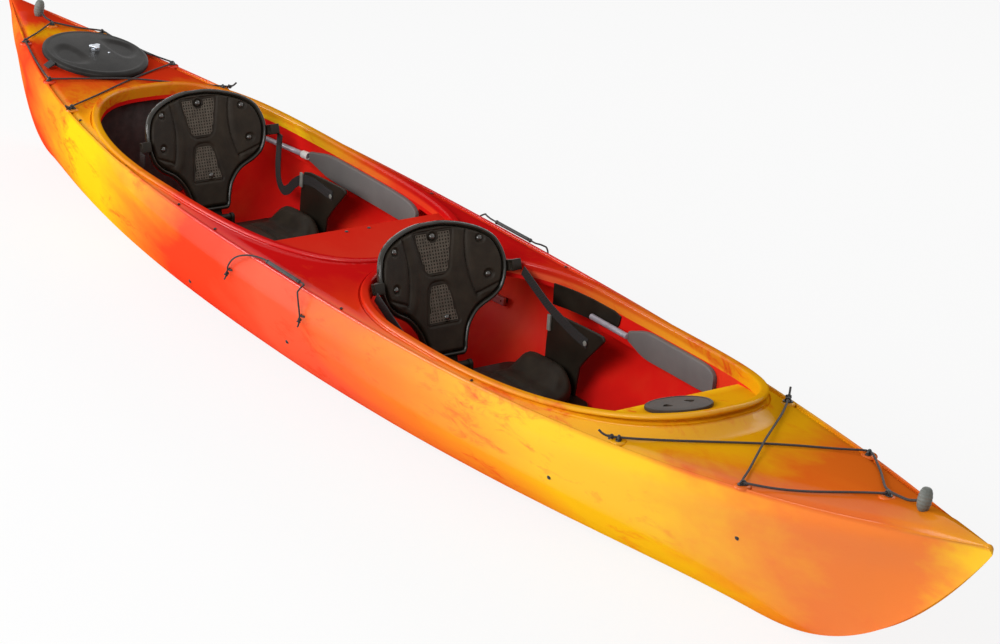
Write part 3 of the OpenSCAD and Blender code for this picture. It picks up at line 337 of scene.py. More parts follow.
def grid_mesh(name, rings, closed_rows=False):
    """A closed skin over rings of points, with an end point on each open end."""
    rows, count = rings.shape[:2]
    points = rings.reshape(-1, 3)
    i, j = np.meshgrid(np.arange(rows if closed_rows else rows - 1), np.arange(count), indexing="ij")
    a, b = i * count + j, i * count + (j + 1) % count
    c, d = ((i + 1) % rows) * count + (j + 1) % count, ((i + 1) % rows) * count + j
    faces = np.stack([a, b, c, d], -1).reshape(-1, 4).tolist()
    if not closed_rows:
        points = np.concatenate([points, rings[0].mean(0)[None], rings[-1].mean(0)[None]])
        first, last = rows * count, rows * count + 1
        for k in range(count):
            faces.append([first, (k + 1) % count, k])
            faces.append([last, (rows - 1) * count + k, (rows - 1) * count + (k + 1) % count])
    mesh = bpy.data.meshes.new(name)
    mesh.from_pydata(points.tolist(), [], faces)
    mesh.update()
    return mesh


def side_curve(flat, half, low, high, power, a):
    """Half width and height of the rounded side, at angles from the keel up to the sheer."""
    return (flat + (half - flat) * np.sin(a) ** (2 / power),
            low + (high - low) * (1 - np.cos(a) ** (2 / power)))


side_rows, bead_rows, deck_rows = 26, 9, 42
bead_in, bead_drop, bead_rise, crease_wide = 0.014, 0.006, 0.0085, 0.013
shoulder, shoulder_drop, shoulder_spread = 0.010, 0.045, 0.052
tuck, tuck_drop = 0.011, 0.020
nose_len, fine_half = 0.012, 0.10


def outer_rings(stations):
    """Rings round the outside: flat keel, side, rolled gunwale bead, sunken crease and deck."""
    x = stations[:, None]
    half, low, high = half_beam(x), keel_z(x), sheer_z(x)
    flat, power = flat_half(x), fullness(x)
    k = np.minimum(1, half / fine_half)
    top = np.arccos(np.clip(bead_drop * k / (high - low), 0, 1) ** (power / 2))
    a = top * (np.arange(1, side_rows + 1) / side_rows)[None]
    side_y, side_z = side_curve(flat, half, low, high, power, a)
    bulge = shoulder * k * ridge((high - side_z) - shoulder_drop, shoulder_spread)
    bulge = bulge * np.minimum(1, (side_z - low) / 0.05)
    side_y = side_y + bulge - tuck * k * ridge(high - side_z, tuck_drop)
    edge_y, edge_z = side_y[:, -1:], side_z[:, -1:]
    crease_y = half - bead_in * k
    turn = np.linspace(0, math.pi, bead_rows + 1)[None, 1:]
    bead_mid, bead_half = (edge_y + crease_y) / 2, (edge_y - crease_y) / 2
    bead_y = bead_mid + bead_half * np.cos(turn)
    bead_z = edge_z + (high - bead_drop * k - edge_z) * (turn / math.pi) + bead_rise * k * np.sin(turn)
    deck_y = crease_y * (1 - ((np.arange(1, deck_rows + 1) / deck_rows) ** 1.2)[None])
    full_x = np.broadcast_to(x, deck_y.shape)
    sunk = deck_z(x, crease_y) - (high - bead_drop * k)
    deck = deck_z(full_x, deck_y) - sunk * ridge(crease_y - deck_y, crease_wide * k)
    deck = deck + skirt_flare(full_x, deck_y) * np.minimum(1, (crease_y - deck_y) / 0.03)
    floor_y, keel = np.concatenate([flat * 0, flat], 1), np.concatenate([low, low], 1)
    y = np.concatenate([floor_y, side_y, bead_y, deck_y], 1)
    z = np.concatenate([keel, side_z, bead_z, deck], 1)
    y = np.concatenate([y, -y[:, -2:0:-1]], 1)
    z = np.concatenate([z, z[:, -2:0:-1]], 1)
    ends = half_len - nose_len
    nose = np.sqrt(np.clip(1 - (np.maximum(0, np.abs(x) - ends) / nose_len) ** 2, 0.02, 1))
    middle = (sheer_z(np.sign(x) * ends) + keel_z(np.sign(x) * ends)) / 2
    return np.stack([np.broadcast_to(x, y.shape), y * nose, middle + (z - middle) * nose], -1)


def inner_rings(stations, side_count=16, deck_count=8, deck_gap=0.009):
    """Rings of the hollow inside, one wall in from the skin."""
    x = stations[:, None]
    half = half_beam(x) - wall
    low, high = keel_z(x) + wall, sheer_z(x) - wall - deck_gap
    flat = np.minimum(flat_half(x), half / 2)
    a = math.pi / 2 * np.linspace(0, 1, side_count + 1)[None]
    side_y, side_z = side_curve(flat, half, low, high, fullness(x), a)
    share = 1 - np.arange(1, deck_count + 1)[None] / deck_count
    deck_y = half * share
    deck = high + camber(x) * (1 - share ** 2)
    y = np.concatenate([side_y, deck_y], 1)
    z = np.concatenate([side_z, np.broadcast_to(deck, deck_y.shape)], 1)
    y = np.concatenate([y, -y[:, -2::-1]], 1)
    z = np.concatenate([z, z[:, -2::-1]], 1)
    return np.stack([np.broadcast_to(x, y.shape), y, z], -1)


lip_out, lip_thick, rim_half, crown_r = 0.020, 0.012, 0.004, 0.007
skirt_drop, brace_drop, brace_fade = 0.048, 0.062, 0.06


def coaming_rings(pit):
    """The rim's section carried round the cockpit: skirt, rounded shoulder and rolled lip."""
    points, out = pit.even_outline(rim_steps)
    x = points[:, 0]
    top = pit.rim(x)
    aft, fore = pit.brace
    braced = np.clip(np.minimum((x - aft) / brace_fade, (fore - x) / brace_fade), 0, 1)
    foot = np.minimum(deck_z(x, points[:, 1]) - wall - 0.002, top - skirt_drop - brace_drop * braced)
    lip = lip_thick / 2
    profile = [(-rim_half, None), (-rim_half, -0.036), (-rim_half, -0.016)]
    profile += [(crown_r - rim_half - crown_r * math.cos(t), -crown_r + crown_r * math.sin(t))
                for t in np.linspace(0, math.pi / 2, 6)]
    profile += [(lip_out - lip + lip * math.sin(t), -lip + lip * math.cos(t))
                for t in np.linspace(0, math.pi, 9)]
    profile += [(rim_half + 0.003, -lip_thick), (rim_half, -lip_thick - 0.004), (rim_half, None)]
    rings = [np.column_stack([points + across * out, foot if down is None else top + down])
             for across, down in profile]
    return np.stack(rings, 1)


def prism(name, outline, low, high, place=None):
    """A closed prism over an outline of points, anticlockwise seen from above."""
    count = len(outline)
    points = [(*p, z) for z in (low, high) for p in outline]
    faces = [list(range(count - 1, -1, -1)), list(range(count, 2 * count))]
    faces += [[i, (i + 1) % count, count + (i + 1) % count, count + i] for i in range(count)]
    mesh = bpy.data.meshes.new(name)
    mesh.from_pydata(points, [], faces)
    if place is not None:
        mesh.transform(place)
    return mesh


def full_turn(count):
    """Angles evenly round a circle."""
    return np.linspace(0, 2 * math.pi, count, endpoint=False)


hatch_x, hatch_long, hatch_wide = -1.747, 0.402, 0.310
hatch_tilt = math.atan(3 * stern_lift * (abs(hatch_x) / half_len) ** 2 / half_len)
hatch_place = Matrix.Translation((hatch_x, 0, at(deck_z, hatch_x, 0))) @ Matrix.Rotation(hatch_tilt, 4, "Y")


def oval(inset, count=96):
    """The hatch's outline, drawn in by an inset."""
    t = full_turn(count)
    return np.stack([(hatch_long / 2 - inset) * np.cos(t), (hatch_wide / 2 - inset) * np.sin(t)], -1)


def baked(work):
    """An object's mesh after its modifiers."""
    return bpy.data.meshes.new_from_object(work.evaluated_get(bpy.context.evaluated_depsgraph_get()))


def shaped(mesh, *steps):
    """The mesh after a row of ("DIFFERENCE" or "UNION", other mesh) steps."""
    work = new_object("work", mesh)
    for operation, other in steps:
        tool = new_object("tool", other)
        tool.hide_render = True
        cut = work.modifiers.new("cut", "BOOLEAN")
        cut.solver = "MANIFOLD"
        cut.operation = operation
        cut.material_mode = "TRANSFER"
        cut.object = tool
        result = baked(work)
        work.modifiers.clear()
        work.data = result
        bpy.data.objects.remove(tool)
    result = work.data
    bpy.data.objects.remove(work)
    return result


def node_group(name, ins, outs):
    """A shader group with named sockets; gives its tree, node adder, input sockets and an output setter."""
    tree = bpy.data.node_groups.new(name, "ShaderNodeTree")
    for socket, value in ins.items():
        made = tree.interface.new_socket(socket, in_out="INPUT", socket_type="NodeSocketFloat")
        made.default_value = value
    for socket in outs:
        tree.interface.new_socket(socket, in_out="OUTPUT", socket_type="NodeSocketFloat")
    add = node_maker(tree)
    given = add("NodeGroupInput").outputs
    sink = add("NodeGroupOutput")

    def give(**values):
        for socket, value in values.items():
            tree.links.new(value, sink.inputs[socket])
    return tree, add, given, give


def moulding_grain():
    """Shared by every moulded plastic: fine pebble for the bump, slow drift for the roughness."""
    tree, add, given, give = node_group("moulding_grain", {"Scale": 600, "Roughness": 0.4, "Drift": 0.1},
                                        ["Height", "Rough"])
    place = add("ShaderNodeTexCoord").outputs["Object"]
    pebble = add("ShaderNodeTexNoise", Vector=place, Scale=given["Scale"], Detail=2)
    slow = add("ShaderNodeTexNoise", Vector=place, Scale=7.0, Detail=4)
    drift = calc(add, "MULTIPLY_ADD", slow.outputs["Fac"], given["Drift"], given["Roughness"])
    give(Height=pebble.outputs["Fac"], Rough=drift)
    return tree


grain_group = moulding_grain()


def finish(name):
    """A new material with its Principled shader; gives the material, its node adder and the shader."""
    material = bpy.data.materials.new(name)
    material.use_nodes = True
    return material, node_maker(material.node_tree), material.node_tree.nodes["Principled BSDF"]


def link(material, source, socket):
    material.node_tree.links.new(source, socket)


def ramp(add, fac, stops):
    """The colour of a ramp over (place, colour) stops."""
    node = add("ShaderNodeValToRGB", Fac=fac)
    band = node.color_ramp
    while len(band.elements) < len(stops):
        band.elements.new(0.5)
    for element, (place, colour) in zip(band.elements, stops):
        element.position = place
        element.color = (*colour, 1)
    return node.outputs["Color"]


def grain_into(material, add, shader, scale, rough, drift, depth):
    """The shared grain in one material: pebble scale, roughness, its drift and the bump's strength."""
    grain = add("ShaderNodeGroup", {"node_tree": grain_group}, Scale=scale, Roughness=rough, Drift=drift)
    bump = add("ShaderNodeBump", Strength=depth, Distance=0.001, Height=grain.outputs["Height"])
    link(material, grain.outputs["Rough"], shader.inputs["Roughness"])
    link(material, bump.outputs["Normal"], shader.inputs["Normal"])


# Coral is partly the blend's own pink and partly a painted sheen, laid on the sides where a highlight falls.
red, scarlet, coral_and_sheen = (0.66, 0.010, 0.014), (0.80, 0.050, 0.016), (0.84, 0.096, 0.040)
orange, amber, yellow = (0.86, 0.200, 0.022), (0.90, 0.360, 0.016), (0.92, 0.520, 0.010)
# Painted shade: the deck's colour is multiplied by this tone, so the top reads darker than the sides.
painted_deck_shade = (0.84, 0.68, 0.5)
blend_reach = 2.40
# Places along the boat in metres where each colour of the powder is strongest
deck_stops = [(-2.40, scarlet), (-2.10, scarlet), (-1.98, yellow), (-1.86, scarlet), (-1.56, scarlet),
              (-1.36, amber), (-1.10, yellow), (-0.86, amber), (-0.60, scarlet), (-0.36, red), (0.18, red),
              (0.46, scarlet), (0.72, orange), (0.98, amber), (1.22, yellow), (1.54, yellow),
              (1.74, orange), (1.98, orange), (2.20, amber), (2.40, yellow)]
# On the sides the coral stops at midships are partly a painted sheen.
side_stops = [(-2.40, scarlet), (-2.10, orange), (-1.86, scarlet), (-1.62, orange), (-1.40, amber),
              (-1.24, yellow), (-1.02, yellow), (-0.84, amber), (-0.68, orange), (-0.48, scarlet),
              (-0.24, scarlet), (0.02, coral_and_sheen), (0.26, coral_and_sheen), (0.62, orange), (0.92, amber), (1.16, yellow),
              (1.56, yellow), (1.74, amber), (1.92, orange), (2.14, orange), (2.28, yellow), (2.40, yellow)]


def even_shine(material, add, shader, level, full=0.40, gone=0.60):
    """The shine held back where the surface turns away, so that a white room doesn't veil the colour."""
    facing = add("ShaderNodeLayerWeight", Blend=0.5).outputs["Facing"]
    shader.inputs["Specular IOR Level"].default_value = level
    link(material, mapped(add, facing, full, gone, level, 0.0), shader.inputs["Specular IOR Level"])


def sunrise_plastic():
    """Colours that run along the deck and the sides apart, swayed by clouds and struck with red flecks; the
    deck is darkened by painted shade, and the sides' coral is partly a painted sheen.
    """
    material, add, shader = finish("sunrise_plastic")
    place = add("ShaderNodeTexCoord").outputs["Object"]
    parts = add("ShaderNodeSeparateXYZ", Vector=place).outputs
    drawn = add("ShaderNodeMapping", Vector=place, Scale=(0.7, 1.6, 1.9)).outputs[0]

    def noise(**sets):
        return add("ShaderNodeTexNoise", Vector=drawn, **sets).outputs["Fac"]

    def mixed(kind, share, under, over):
        node = add("ShaderNodeMixRGB", {"blend_type": kind}, Fac=share, Color1=under, Color2=over)
        return node.outputs[0]

    def run_of(stops, along):
        places = [((x + blend_reach) / (2 * blend_reach), colour) for x, colour in stops]
        return ramp(add, mapped(add, along, -blend_reach, blend_reach), places)

    cloud = noise(Scale=1.7, Detail=5, Roughness=0.55, Distortion=0.8)
    sway = calc(add, "MULTIPLY_ADD", cloud, 0.62, -0.31)
    spread = calc(add, "MULTIPLY_ADD", noise(Scale=13.0, Detail=6, Roughness=0.68), 0.16, -0.08)
    lean = calc(add, "MULTIPLY_ADD", parts["Y"], -0.16, sway)
    along = calc(add, "ADD", parts["X"], calc(add, "ADD", lean, spread))
    reach = calc(add, "ABSOLUTE", parts["X"])
    cubed = calc(add, "POWER", calc(add, "DIVIDE", reach, half_len), 3.0)
    sheer = calc(add, "MULTIPLY_ADD", cubed, (bow_lift + stern_lift) / 2, sheer_mid)
    over = calc(add, "SUBTRACT", parts["Z"], sheer)
    topside = mapped(add, over, -0.007, 0.001)
    # Low on the sides each colour lies further out from midships
    depth = mapped(add, over, -0.05, -0.25, 0.0, 0.24)
    drawn_out = calc(add, "MULTIPLY", depth, mapped(add, reach, 1.5, 1.0))
    lowered = calc(add, "MULTIPLY", along, calc(add, "SUBTRACT", 1.0, drawn_out))
    colour = mixed("MIX", topside, run_of(side_stops, lowered), run_of(deck_stops, along))
    patch = noise(Scale=4.6, Detail=3, Distortion=0.5)
    streak = noise(Scale=16.0, Detail=9, Roughness=0.72, Distortion=1.2)
    struck = mapped(add, calc(add, "MULTIPLY", patch, streak), 0.285, 0.42, 0.0, 0.8)
    struck = calc(add, "MULTIPLY", struck, mapped(add, parts["X"], 1.7, 1.2, 0.12, 1.0))
    flecked = mixed("MIX", struck, colour, (*scarlet, 1))
    # Painted shade: the deck's colour is multiplied by a darker tone here.
    link(material, mixed("MULTIPLY", topside, flecked, (*painted_deck_shade, 1)), shader.inputs["Base Color"])
    even_shine(material, add, shader, 0.28)
    grain_into(material, add, shader, 420, 0.17, 0.12, 0.04)
    return material


def inside_plastic():
    """The bare red of the inside, barely shining."""
    material, add, shader = finish("inside_plastic")
    place = add("ShaderNodeTexCoord").outputs["Object"]
    cloud = add("ShaderNodeTexNoise", Vector=place, Scale=3.0, Detail=5).outputs["Fac"]
    stops = [(0.30, (0.58, 0.008, 0.008)), (0.50, (0.76, 0.012, 0.008)), (0.72, scarlet)]
    link(material, ramp(add, cloud, stops), shader.inputs["Base Color"])
    even_shine(material, add, shader, 0.05)
    grain_into(material, add, shader, 260, 0.38, 0.12, 0.12)
    return material


sunrise = sunrise_plastic()
inside = inside_plastic()


def painted(mesh, *materials):
    for material in materials:
        mesh.materials.append(material)
    return mesh


blunt = 0.988
stations = half_len * np.concatenate([np.linspace(-1, -blunt, 9)[:-1], np.linspace(-blunt, blunt, 300),
                                      np.linspace(blunt, 1, 9)[1:]])
hull_skin = painted(grid_mesh("hull_skin", outer_rings(stations)), sunrise, inside)
hollow_bow, hollow_stern = half_len - 0.46, half_len - 0.22
hollow_run = np.sin(np.linspace(-1, 1, 121) * math.pi / 2)
hollow_run = hollow_run * np.where(hollow_run > 0, hollow_bow, hollow_stern)
hollow = painted(grid_mesh("hollow", inner_rings(hollow_run)), inside)
pit_gap, pit_low, pit_high = 0.0017, 0.287, 0.62
groove_r, groove_gap = 0.0048, 0.0012


def pit_cut(pit):
    """The opening inside a rim."""
    points, out = pit.even_outline(rim_steps)
    return painted(prism("pit", points + pit_gap * out, pit_low, pit_high), inside)


def rim_mesh(pit):
    """The rim, the lower part of its skirt left in the red of the inside."""
    mesh = painted(grid_mesh("rim", coaming_rings(pit), closed_rows=True), sunrise, inside)
    around = len(mesh.polygons) // rim_steps
    mesh.polygons.foreach_set("material_index", [int(i % around == 0) for i in range(len(mesh.polygons))])
    return mesh


def groove_mesh(pit):
    """A channel in the deck along the outside of the rim's lip."""
    points, out = pit.even_outline(rim_steps)
    points = points + (lip_out + groove_gap) * out
    top = deck_z(points[:, 0], points[:, 1]) + 0.9 * skirt_flare(points[:, 0], points[:, 1])
    rings = [np.column_stack([points + groove_r * math.cos(turn) * out, top + groove_r * math.sin(turn)])
             for turn in full_turn(10)]
    return painted(grid_mesh("groove", np.stack(rings, 1)[:, ::-1], closed_rows=True), sunrise)


plate_bite = 0.001


def fore_outline(pit, aft):
    """The outline of a plate across a cockpit's fore end, and the half width of its straight aft edge."""
    points, out = pit.even_outline(rim_steps)
    arch = [p for p in np.roll(points + plate_bite * out, rim_steps // 2, 0) if p[0] > aft]
    side = at(pit.side, aft)
    return [(aft, -side)] + arch + [(aft, side)], side


dash_aft, dash_low, dash_high, dash_lid_x, cup_r = 1.198, 0.355, 0.361, 1.286, 0.0705
dash_tilt = math.radians(13)
dash_slope = Matrix.Identity(4)
dash_slope[2][0] = math.tan(dash_tilt)
dash_slope[2][3] = -dash_lid_x * math.tan(dash_tilt)
shelf, _ = fore_outline(front_pit, dash_aft)
cup_turn = full_turn(64)
cup_line = np.stack([dash_lid_x + cup_r * np.cos(cup_turn), cup_r * np.sin(cup_turn)], -1)
cup_hole = painted(prism("cup_hole", cup_line, 0.3, 0.45), sunrise)
dash_shelf = shaped(painted(prism("dash_shelf", shelf, dash_low, dash_high, dash_slope), sunrise),
                    ("DIFFERENCE", cup_hole))

tray_aft, tray_low, tray_high, tray_lip = -0.190, 0.327, 0.333, 0.018
tray, tray_side = fore_outline(rear_pit, tray_aft)
tray_plate = painted(prism("tray_plate", tray, tray_low, tray_high), sunrise)
lip_aft, lip_fore, lip_side = tray_aft + 0.0005, tray_aft + wall, tray_side - plate_bite
lip_line = [(lip_aft, -lip_side), (lip_fore, -lip_side), (lip_fore, lip_side), (lip_aft, lip_side)]
lip_plate = painted(prism("tray_lip", lip_line, tray_high - tray_lip, tray_high - 0.001), sunrise)

hatch_cut = painted(prism("hatch_cut", oval(0.0195), -0.036, 0.036, hatch_place), sunrise)
collar_bore = painted(prism("collar_bore", oval(0.023), -0.05, 0.05, hatch_place), sunrise)
collar = shaped(painted(prism("collar", oval(0.016), -0.012, 0.013, hatch_place), sunrise),
                ("DIFFERENCE", collar_bore))

# Deck eyes: x, y and turn in degrees; side eyes: x and z on either side
deck_eyes = [(1.386, -0.251, -45), (1.386, 0.251, 45), (1.758, -0.184, 66), (1.758, 0.184, -66),
             (2.027, 0, 0), (-1.389, -0.258, 35), (-1.389, 0.258, -35), (-1.634, -0.213, -58),
             (-1.634, 0.213, 58), (-1.962, -0.134, 54), (-1.962, 0.134, -54), (-2.050, 0, 0)]
side_eyes = [(-0.193, 0.271), (0.188, 0.271)]
boss_rise, boss_r = 0.0035, 0.017


def lathed(name, turns, profile):
    """A turned shape from (radius, height) steps, either of which may change round the turn."""
    rings = [np.stack([radius * np.cos(turns), radius * np.sin(turns),
                       np.broadcast_to(height, turns.shape)], -1) for radius, height in profile]
    return grid_mesh(name, np.stack(rings))


def boss(place, axis_turn):
    """A low round seat moulded under a deck fitting."""
    foot_r = boss_r + 0.003
    mesh = lathed("boss", full_turn(28), [(foot_r, -0.0065), (foot_r, -0.0035), (boss_r + 0.001, -0.0008),
                                          (boss_r - 0.001, 0)])
    mesh.transform(Matrix.Translation(place) @ axis_turn)
    return mesh


def joined(name, meshes):
    """Several meshes as one, with the first one's materials."""
    bm = bmesh.new()
    for mesh in meshes:
        bm.from_mesh(mesh)
    whole = bpy.data.meshes.new(name)
    bm.to_mesh(whole)
    bm.free()
    return painted(whole, *meshes[0].materials)


def side_half(x, z):
    """Half width of the hull's plain side at a height."""
    half, low, high = half_beam(x), keel_z(x), sheer_z(x)
    flat, power = np.minimum(flat_half(x), half / 2), fullness(x)
    t = np.clip((z - low) / (high - low), 0, 1)
    return flat + (half - flat) * (1 - (1 - t) ** power) ** (1 / power)


def deck_seats(gap):
    """Place and turn of each deck eye, a gap above its boss."""
    return [((x, y, at(deck_z, x, y) + boss_rise + gap), Matrix.Rotation(math.radians(turn), 4, "Z"))
            for x, y, turn in deck_eyes]


def side_seats(gap):
    """The same for the eyes on the hull's sides, which face outward."""
    seats = []
    for x, z in side_eyes:
        out = at(side_half, x, z) + boss_rise + gap
        seats += [((x, side * out, z), Matrix.Rotation(-side * math.pi / 2, 4, "X")) for side in (1, -1)]
    return seats


bosses = [boss(place, Matrix.Identity(4)) for place, turn in deck_seats(0)]
bosses += [boss(place, turn) for place, turn in side_seats(0)]
bosses = painted(joined("bosses", bosses), sunrise)
hull_mesh = shaped(hull_skin, ("DIFFERENCE", hollow), *[("DIFFERENCE", pit_cut(pit)) for pit in pits],
                   ("DIFFERENCE", hatch_cut), *[("DIFFERENCE", groove_mesh(pit)) for pit in pits],
                   *[("UNION", rim_mesh(pit)) for pit in pits], ("UNION", dash_shelf),
                   ("UNION", tray_plate), ("UNION", lip_plate), ("UNION", collar), ("UNION", bosses))


def smooth_by_angle(mesh, degrees):
    mesh.shade_smooth()
    mesh.set_sharp_from_angle(angle=math.radians(degrees))
    return mesh


hull = new_object("hull_moulding", smooth_by_angle(hull_mesh, 38))
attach(hull, "hull")
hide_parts("hull_shell")

# The foam blocks: grey closed-cell foam, a bulkhead glued in behind the rear seat and a pillar that
# holds the foredeck up. Both are cut from sheet, so their edges are soft and their faces show cells.
def remade(node):
    """A CAD node as a clean mesh: doubles merged and flat faces joined."""
    bm = bmesh.new()
    bm.from_mesh(nodes[node].data)
    bmesh.ops.remove_doubles(bm, verts=bm.verts, dist=2e-5)
    bmesh.ops.dissolve_limit(bm, angle_limit=math.radians(1.5), verts=bm.verts, edges=bm.edges)
    mesh = bpy.data.meshes.new(node)
    bm.to_mesh(mesh)
    bm.free()
    return mesh


def after(mesh, kind, **sets):
    """The mesh after one modifier."""
    work = new_object("work", mesh)
    step = work.modifiers.new("step", kind)
    for name, value in sets.items():
        setattr(step, name, value)
    result = baked(work)
    bpy.data.objects.remove(work)
    return result


def rounded(mesh, width, angle=32):
    """The mesh with its edges eased over a width."""
    mesh = after(mesh, "BEVEL", width=width, segments=3, limit_method="ANGLE",
                 angle_limit=math.radians(angle))
    return smooth_by_angle(mesh, 30)


def placed(name, mesh, material, stand_for, body=None):
    """A piece with its material that stands for CAD nodes and rides with their body."""
    mesh.materials.clear()
    piece = new_object(name, painted(mesh, material))
    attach(piece, body or body_of(nodes[stand_for[0]])[0])
    if stand_for:
        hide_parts(*stand_for)
    return piece


def eased(name, node, width, material):
    """A piece made from one CAD node with its edges eased."""
    return placed(name, rounded(remade(node), width), material, [node])


def clouded(name, tones, spread, grain, **constants):
    """A material whose colour drifts between two tones over a scale, with grain as grain_into takes it."""
    material, add, shader = finish(name)
    place = add("ShaderNodeTexCoord").outputs["Object"]
    cloud = add("ShaderNodeTexNoise", Vector=place, Scale=spread, Detail=5).outputs["Fac"]
    link(material, ramp(add, cloud, list(zip((0.32, 0.68), tones))), shader.inputs["Base Color"])
    for socket, value in constants.items():
        shader.inputs[socket.replace("_", " ")].default_value = value
    grain_into(material, add, shader, *grain)
    return material


foam = clouded("closed_cell_foam", [(0.045, 0.040, 0.038), (0.080, 0.072, 0.068)], 40,
               (900, 0.86, 0.08, 0.5))
for name in ("rear_bulkhead", "bow_float"):
    eased(name + "_block", name, 0.004, foam)

# The stern hatch: a moulded charcoal cover on a raised collar, with a rubber gasket under it, short dark
# tabs at its sides and a bright three-lobed knob that draws it down. Two dished hollows give a grip.
cover_foot, cover_edge, cover_crown, cover_plate, cover_wall = 0.005, 0.021, 0.007, 0.006, 0.010
hollow_y, hollow_long, hollow_wide, hollow_depth = 0.090, 0.098, 0.046, 0.0075


def cover_top(x, y):
    """Height of the cover's crowned top, with its border bead and the two hollows."""
    r2 = (2 * x / hatch_long) ** 2 + (2 * y / hatch_wide) ** 2
    bent = np.abs(y) - hollow_y + 1.9 * x * x
    reach = np.sqrt((x / hollow_long) ** 2 + (bent / hollow_wide) ** 2)
    dish = hollow_depth * (1 - smooth_step(0.55, 1.0, reach))
    border = 0.0016 * ridge(np.sqrt(r2) - 0.93, 0.022)
    return cover_edge + cover_crown * (1 - r2) - dish + border


def cover_rings(count=144):
    """Rings from the middle of the cover's underside, round its wall and in over its top."""
    under = cover_edge - cover_plate
    edge = ((hatch_wide / 2 - 0.008, under), (cover_wall + 0.002, under), (cover_wall, under - 0.001),
            (cover_wall, cover_foot), (0.0015, cover_foot), (0, cover_foot + 0.0015),
            (0, cover_edge - 0.007), (0.0012, cover_edge - 0.003), (0.004, cover_edge - 0.0006))
    rings = [np.column_stack([oval(inset, count), np.full(count, z)]) for inset, z in edge]
    for share in np.linspace(0.955, 0.01, 46):
        flat = oval(0, count) * share
        rings.append(np.column_stack([flat, cover_top(flat[:, 0], flat[:, 1])]))
    return np.stack(rings)


cover_plastic = clouded("hatch_charcoal", [(0.011, 0.010, 0.009), (0.023, 0.021, 0.019)], 16,
                        (700, 0.36, 0.12, 0.16), Specular_IOR_Level=0.10)
cover_mesh = grid_mesh("hatch_cover_skin", cover_rings())
cover_mesh.transform(hatch_place)
placed("hatch_cover_skin", smooth_by_angle(cover_mesh, 40), cover_plastic, ["hatch_cover"])

rubber = clouded("seal_rubber", [(0.012, 0.012, 0.012), (0.022, 0.021, 0.021)], 30, (500, 0.72, 0.1, 0.2))
eased("hatch_gasket_ring", "hatch_gasket", 0.0006, rubber)
eased("hatch_tab_pair", "hatch_tabs", 0.0008, rubber)

knob_turn = full_turn(90)
knob_lobes = 0.0155 + 0.0045 * np.cos(3 * knob_turn)
# Steps up the knob: share of the lobed outline, plain radius and height
knob_steps = [(0, 0.0135, 0), (0, 0.014, 0.0006), (0, 0.014, 0.0072), (0.96, 0, 0.0072), (1, 0, 0.0082),
              (1, 0, 0.0140), (0.975, 0, 0.0152), (0.92, 0, 0.0158), (0.80, 0, 0.0156), (0.55, 0, 0.0150),
              (0.2, 0, 0.0149)]
knob_mesh = lathed("hatch_knob_grip", knob_turn,
                   [(lobed * knob_lobes + plain, z) for lobed, plain, z in knob_steps])
knob_mesh.transform(hatch_place @ Matrix.Translation((0, 0, at(cover_top, 0, 0) + 0.0003)))
bright = clouded("bright_metal", [(0.52, 0.55, 0.60), (0.66, 0.69, 0.74)], 60, (1500, 0.20, 0.14, 0.05),
                 Metallic=0.9)
placed("hatch_knob_grip", smooth_by_angle(knob_mesh, 35), bright, ["hatch_knob"])

# Screws and rivets: small pan heads of black steel along the deck's crease, on the hull's sides and in the
# tray, and a bright one in the hatch cover. Each is a low dome; deck and hatch screws have a cross cut in.
def head_mesh(radius, rise, cross):
    """A domed head; cross is the depth of its cross as a share of the rise."""
    turns = full_turn(32)
    in_cross = np.abs(np.sin(2 * turns)) < 0.42
    dome = [(1, -0.25), (1, 0.2), (0.95, 0.5), (0.82, 0.78), (0.62, 0.93), (0.45, 0.985), (0.30, 1),
            (0.1, 1)]
    profile = [(share * radius, rise * (height - cross * in_cross * (share < 0.5)))
               for share, height in dome]
    return smooth_by_angle(lathed("head", turns, profile), 40)


def geometry_tree(name, **inputs):
    """A Geometry Nodes tree with named inputs; gives the tree, its node adder and its input sockets."""
    tree = bpy.data.node_groups.new(name, "GeometryNodeTree")
    tree.interface.new_socket("Geometry", in_out="OUTPUT", socket_type="NodeSocketGeometry")
    tree.interface.new_socket("Geometry", in_out="INPUT", socket_type="NodeSocketGeometry")
    for socket, kind in inputs.items():
        tree.interface.new_socket(socket, in_out="INPUT", socket_type="NodeSocket" + kind)
    add = node_maker(tree)
    return tree, add, add("NodeGroupInput").outputs


def end_tree(add, given, geometry):
    """How every tree ends: copies made real and the material set."""
    real = add("GeometryNodeRealizeInstances", Geometry=geometry)
    coloured = add("GeometryNodeSetMaterial", Geometry=real.outputs[0], Material=given["Material"])
    add("NodeGroupOutput", Geometry=coloured.outputs[0])


def scatter_tree():
    """One tree for everything fixed in rows: a head on each point, turned by the point's own angles."""
    tree, add, given = geometry_tree("set_on_points", Head="Object", Material="Material")
    angles = add("GeometryNodeInputNamedAttribute", {"data_type": "FLOAT_VECTOR"}, Name="turn")
    turn = add("FunctionNodeEulerToRotation", Euler=angles.outputs[0])
    head = add("GeometryNodeObjectInfo", Object=given["Head"])
    heads = add("GeometryNodeInstanceOnPoints", Points=given["Geometry"], Instance=head.outputs["Geometry"],
                Rotation=turn.outputs[0])
    end_tree(add, given, heads.outputs[0])
    return tree


set_on_points = scatter_tree()


def grown(mesh, tree, **values):
    """The mesh after a Geometry Nodes tree whose named inputs are set."""
    work = new_object("work", mesh)
    step = work.modifiers.new("grow", "NODES")
    step.node_group = tree
    for name, value in values.items():
        step[tree.interface.items_tree[name].identifier] = value
    result = baked(work)
    bpy.data.objects.remove(work)
    return result


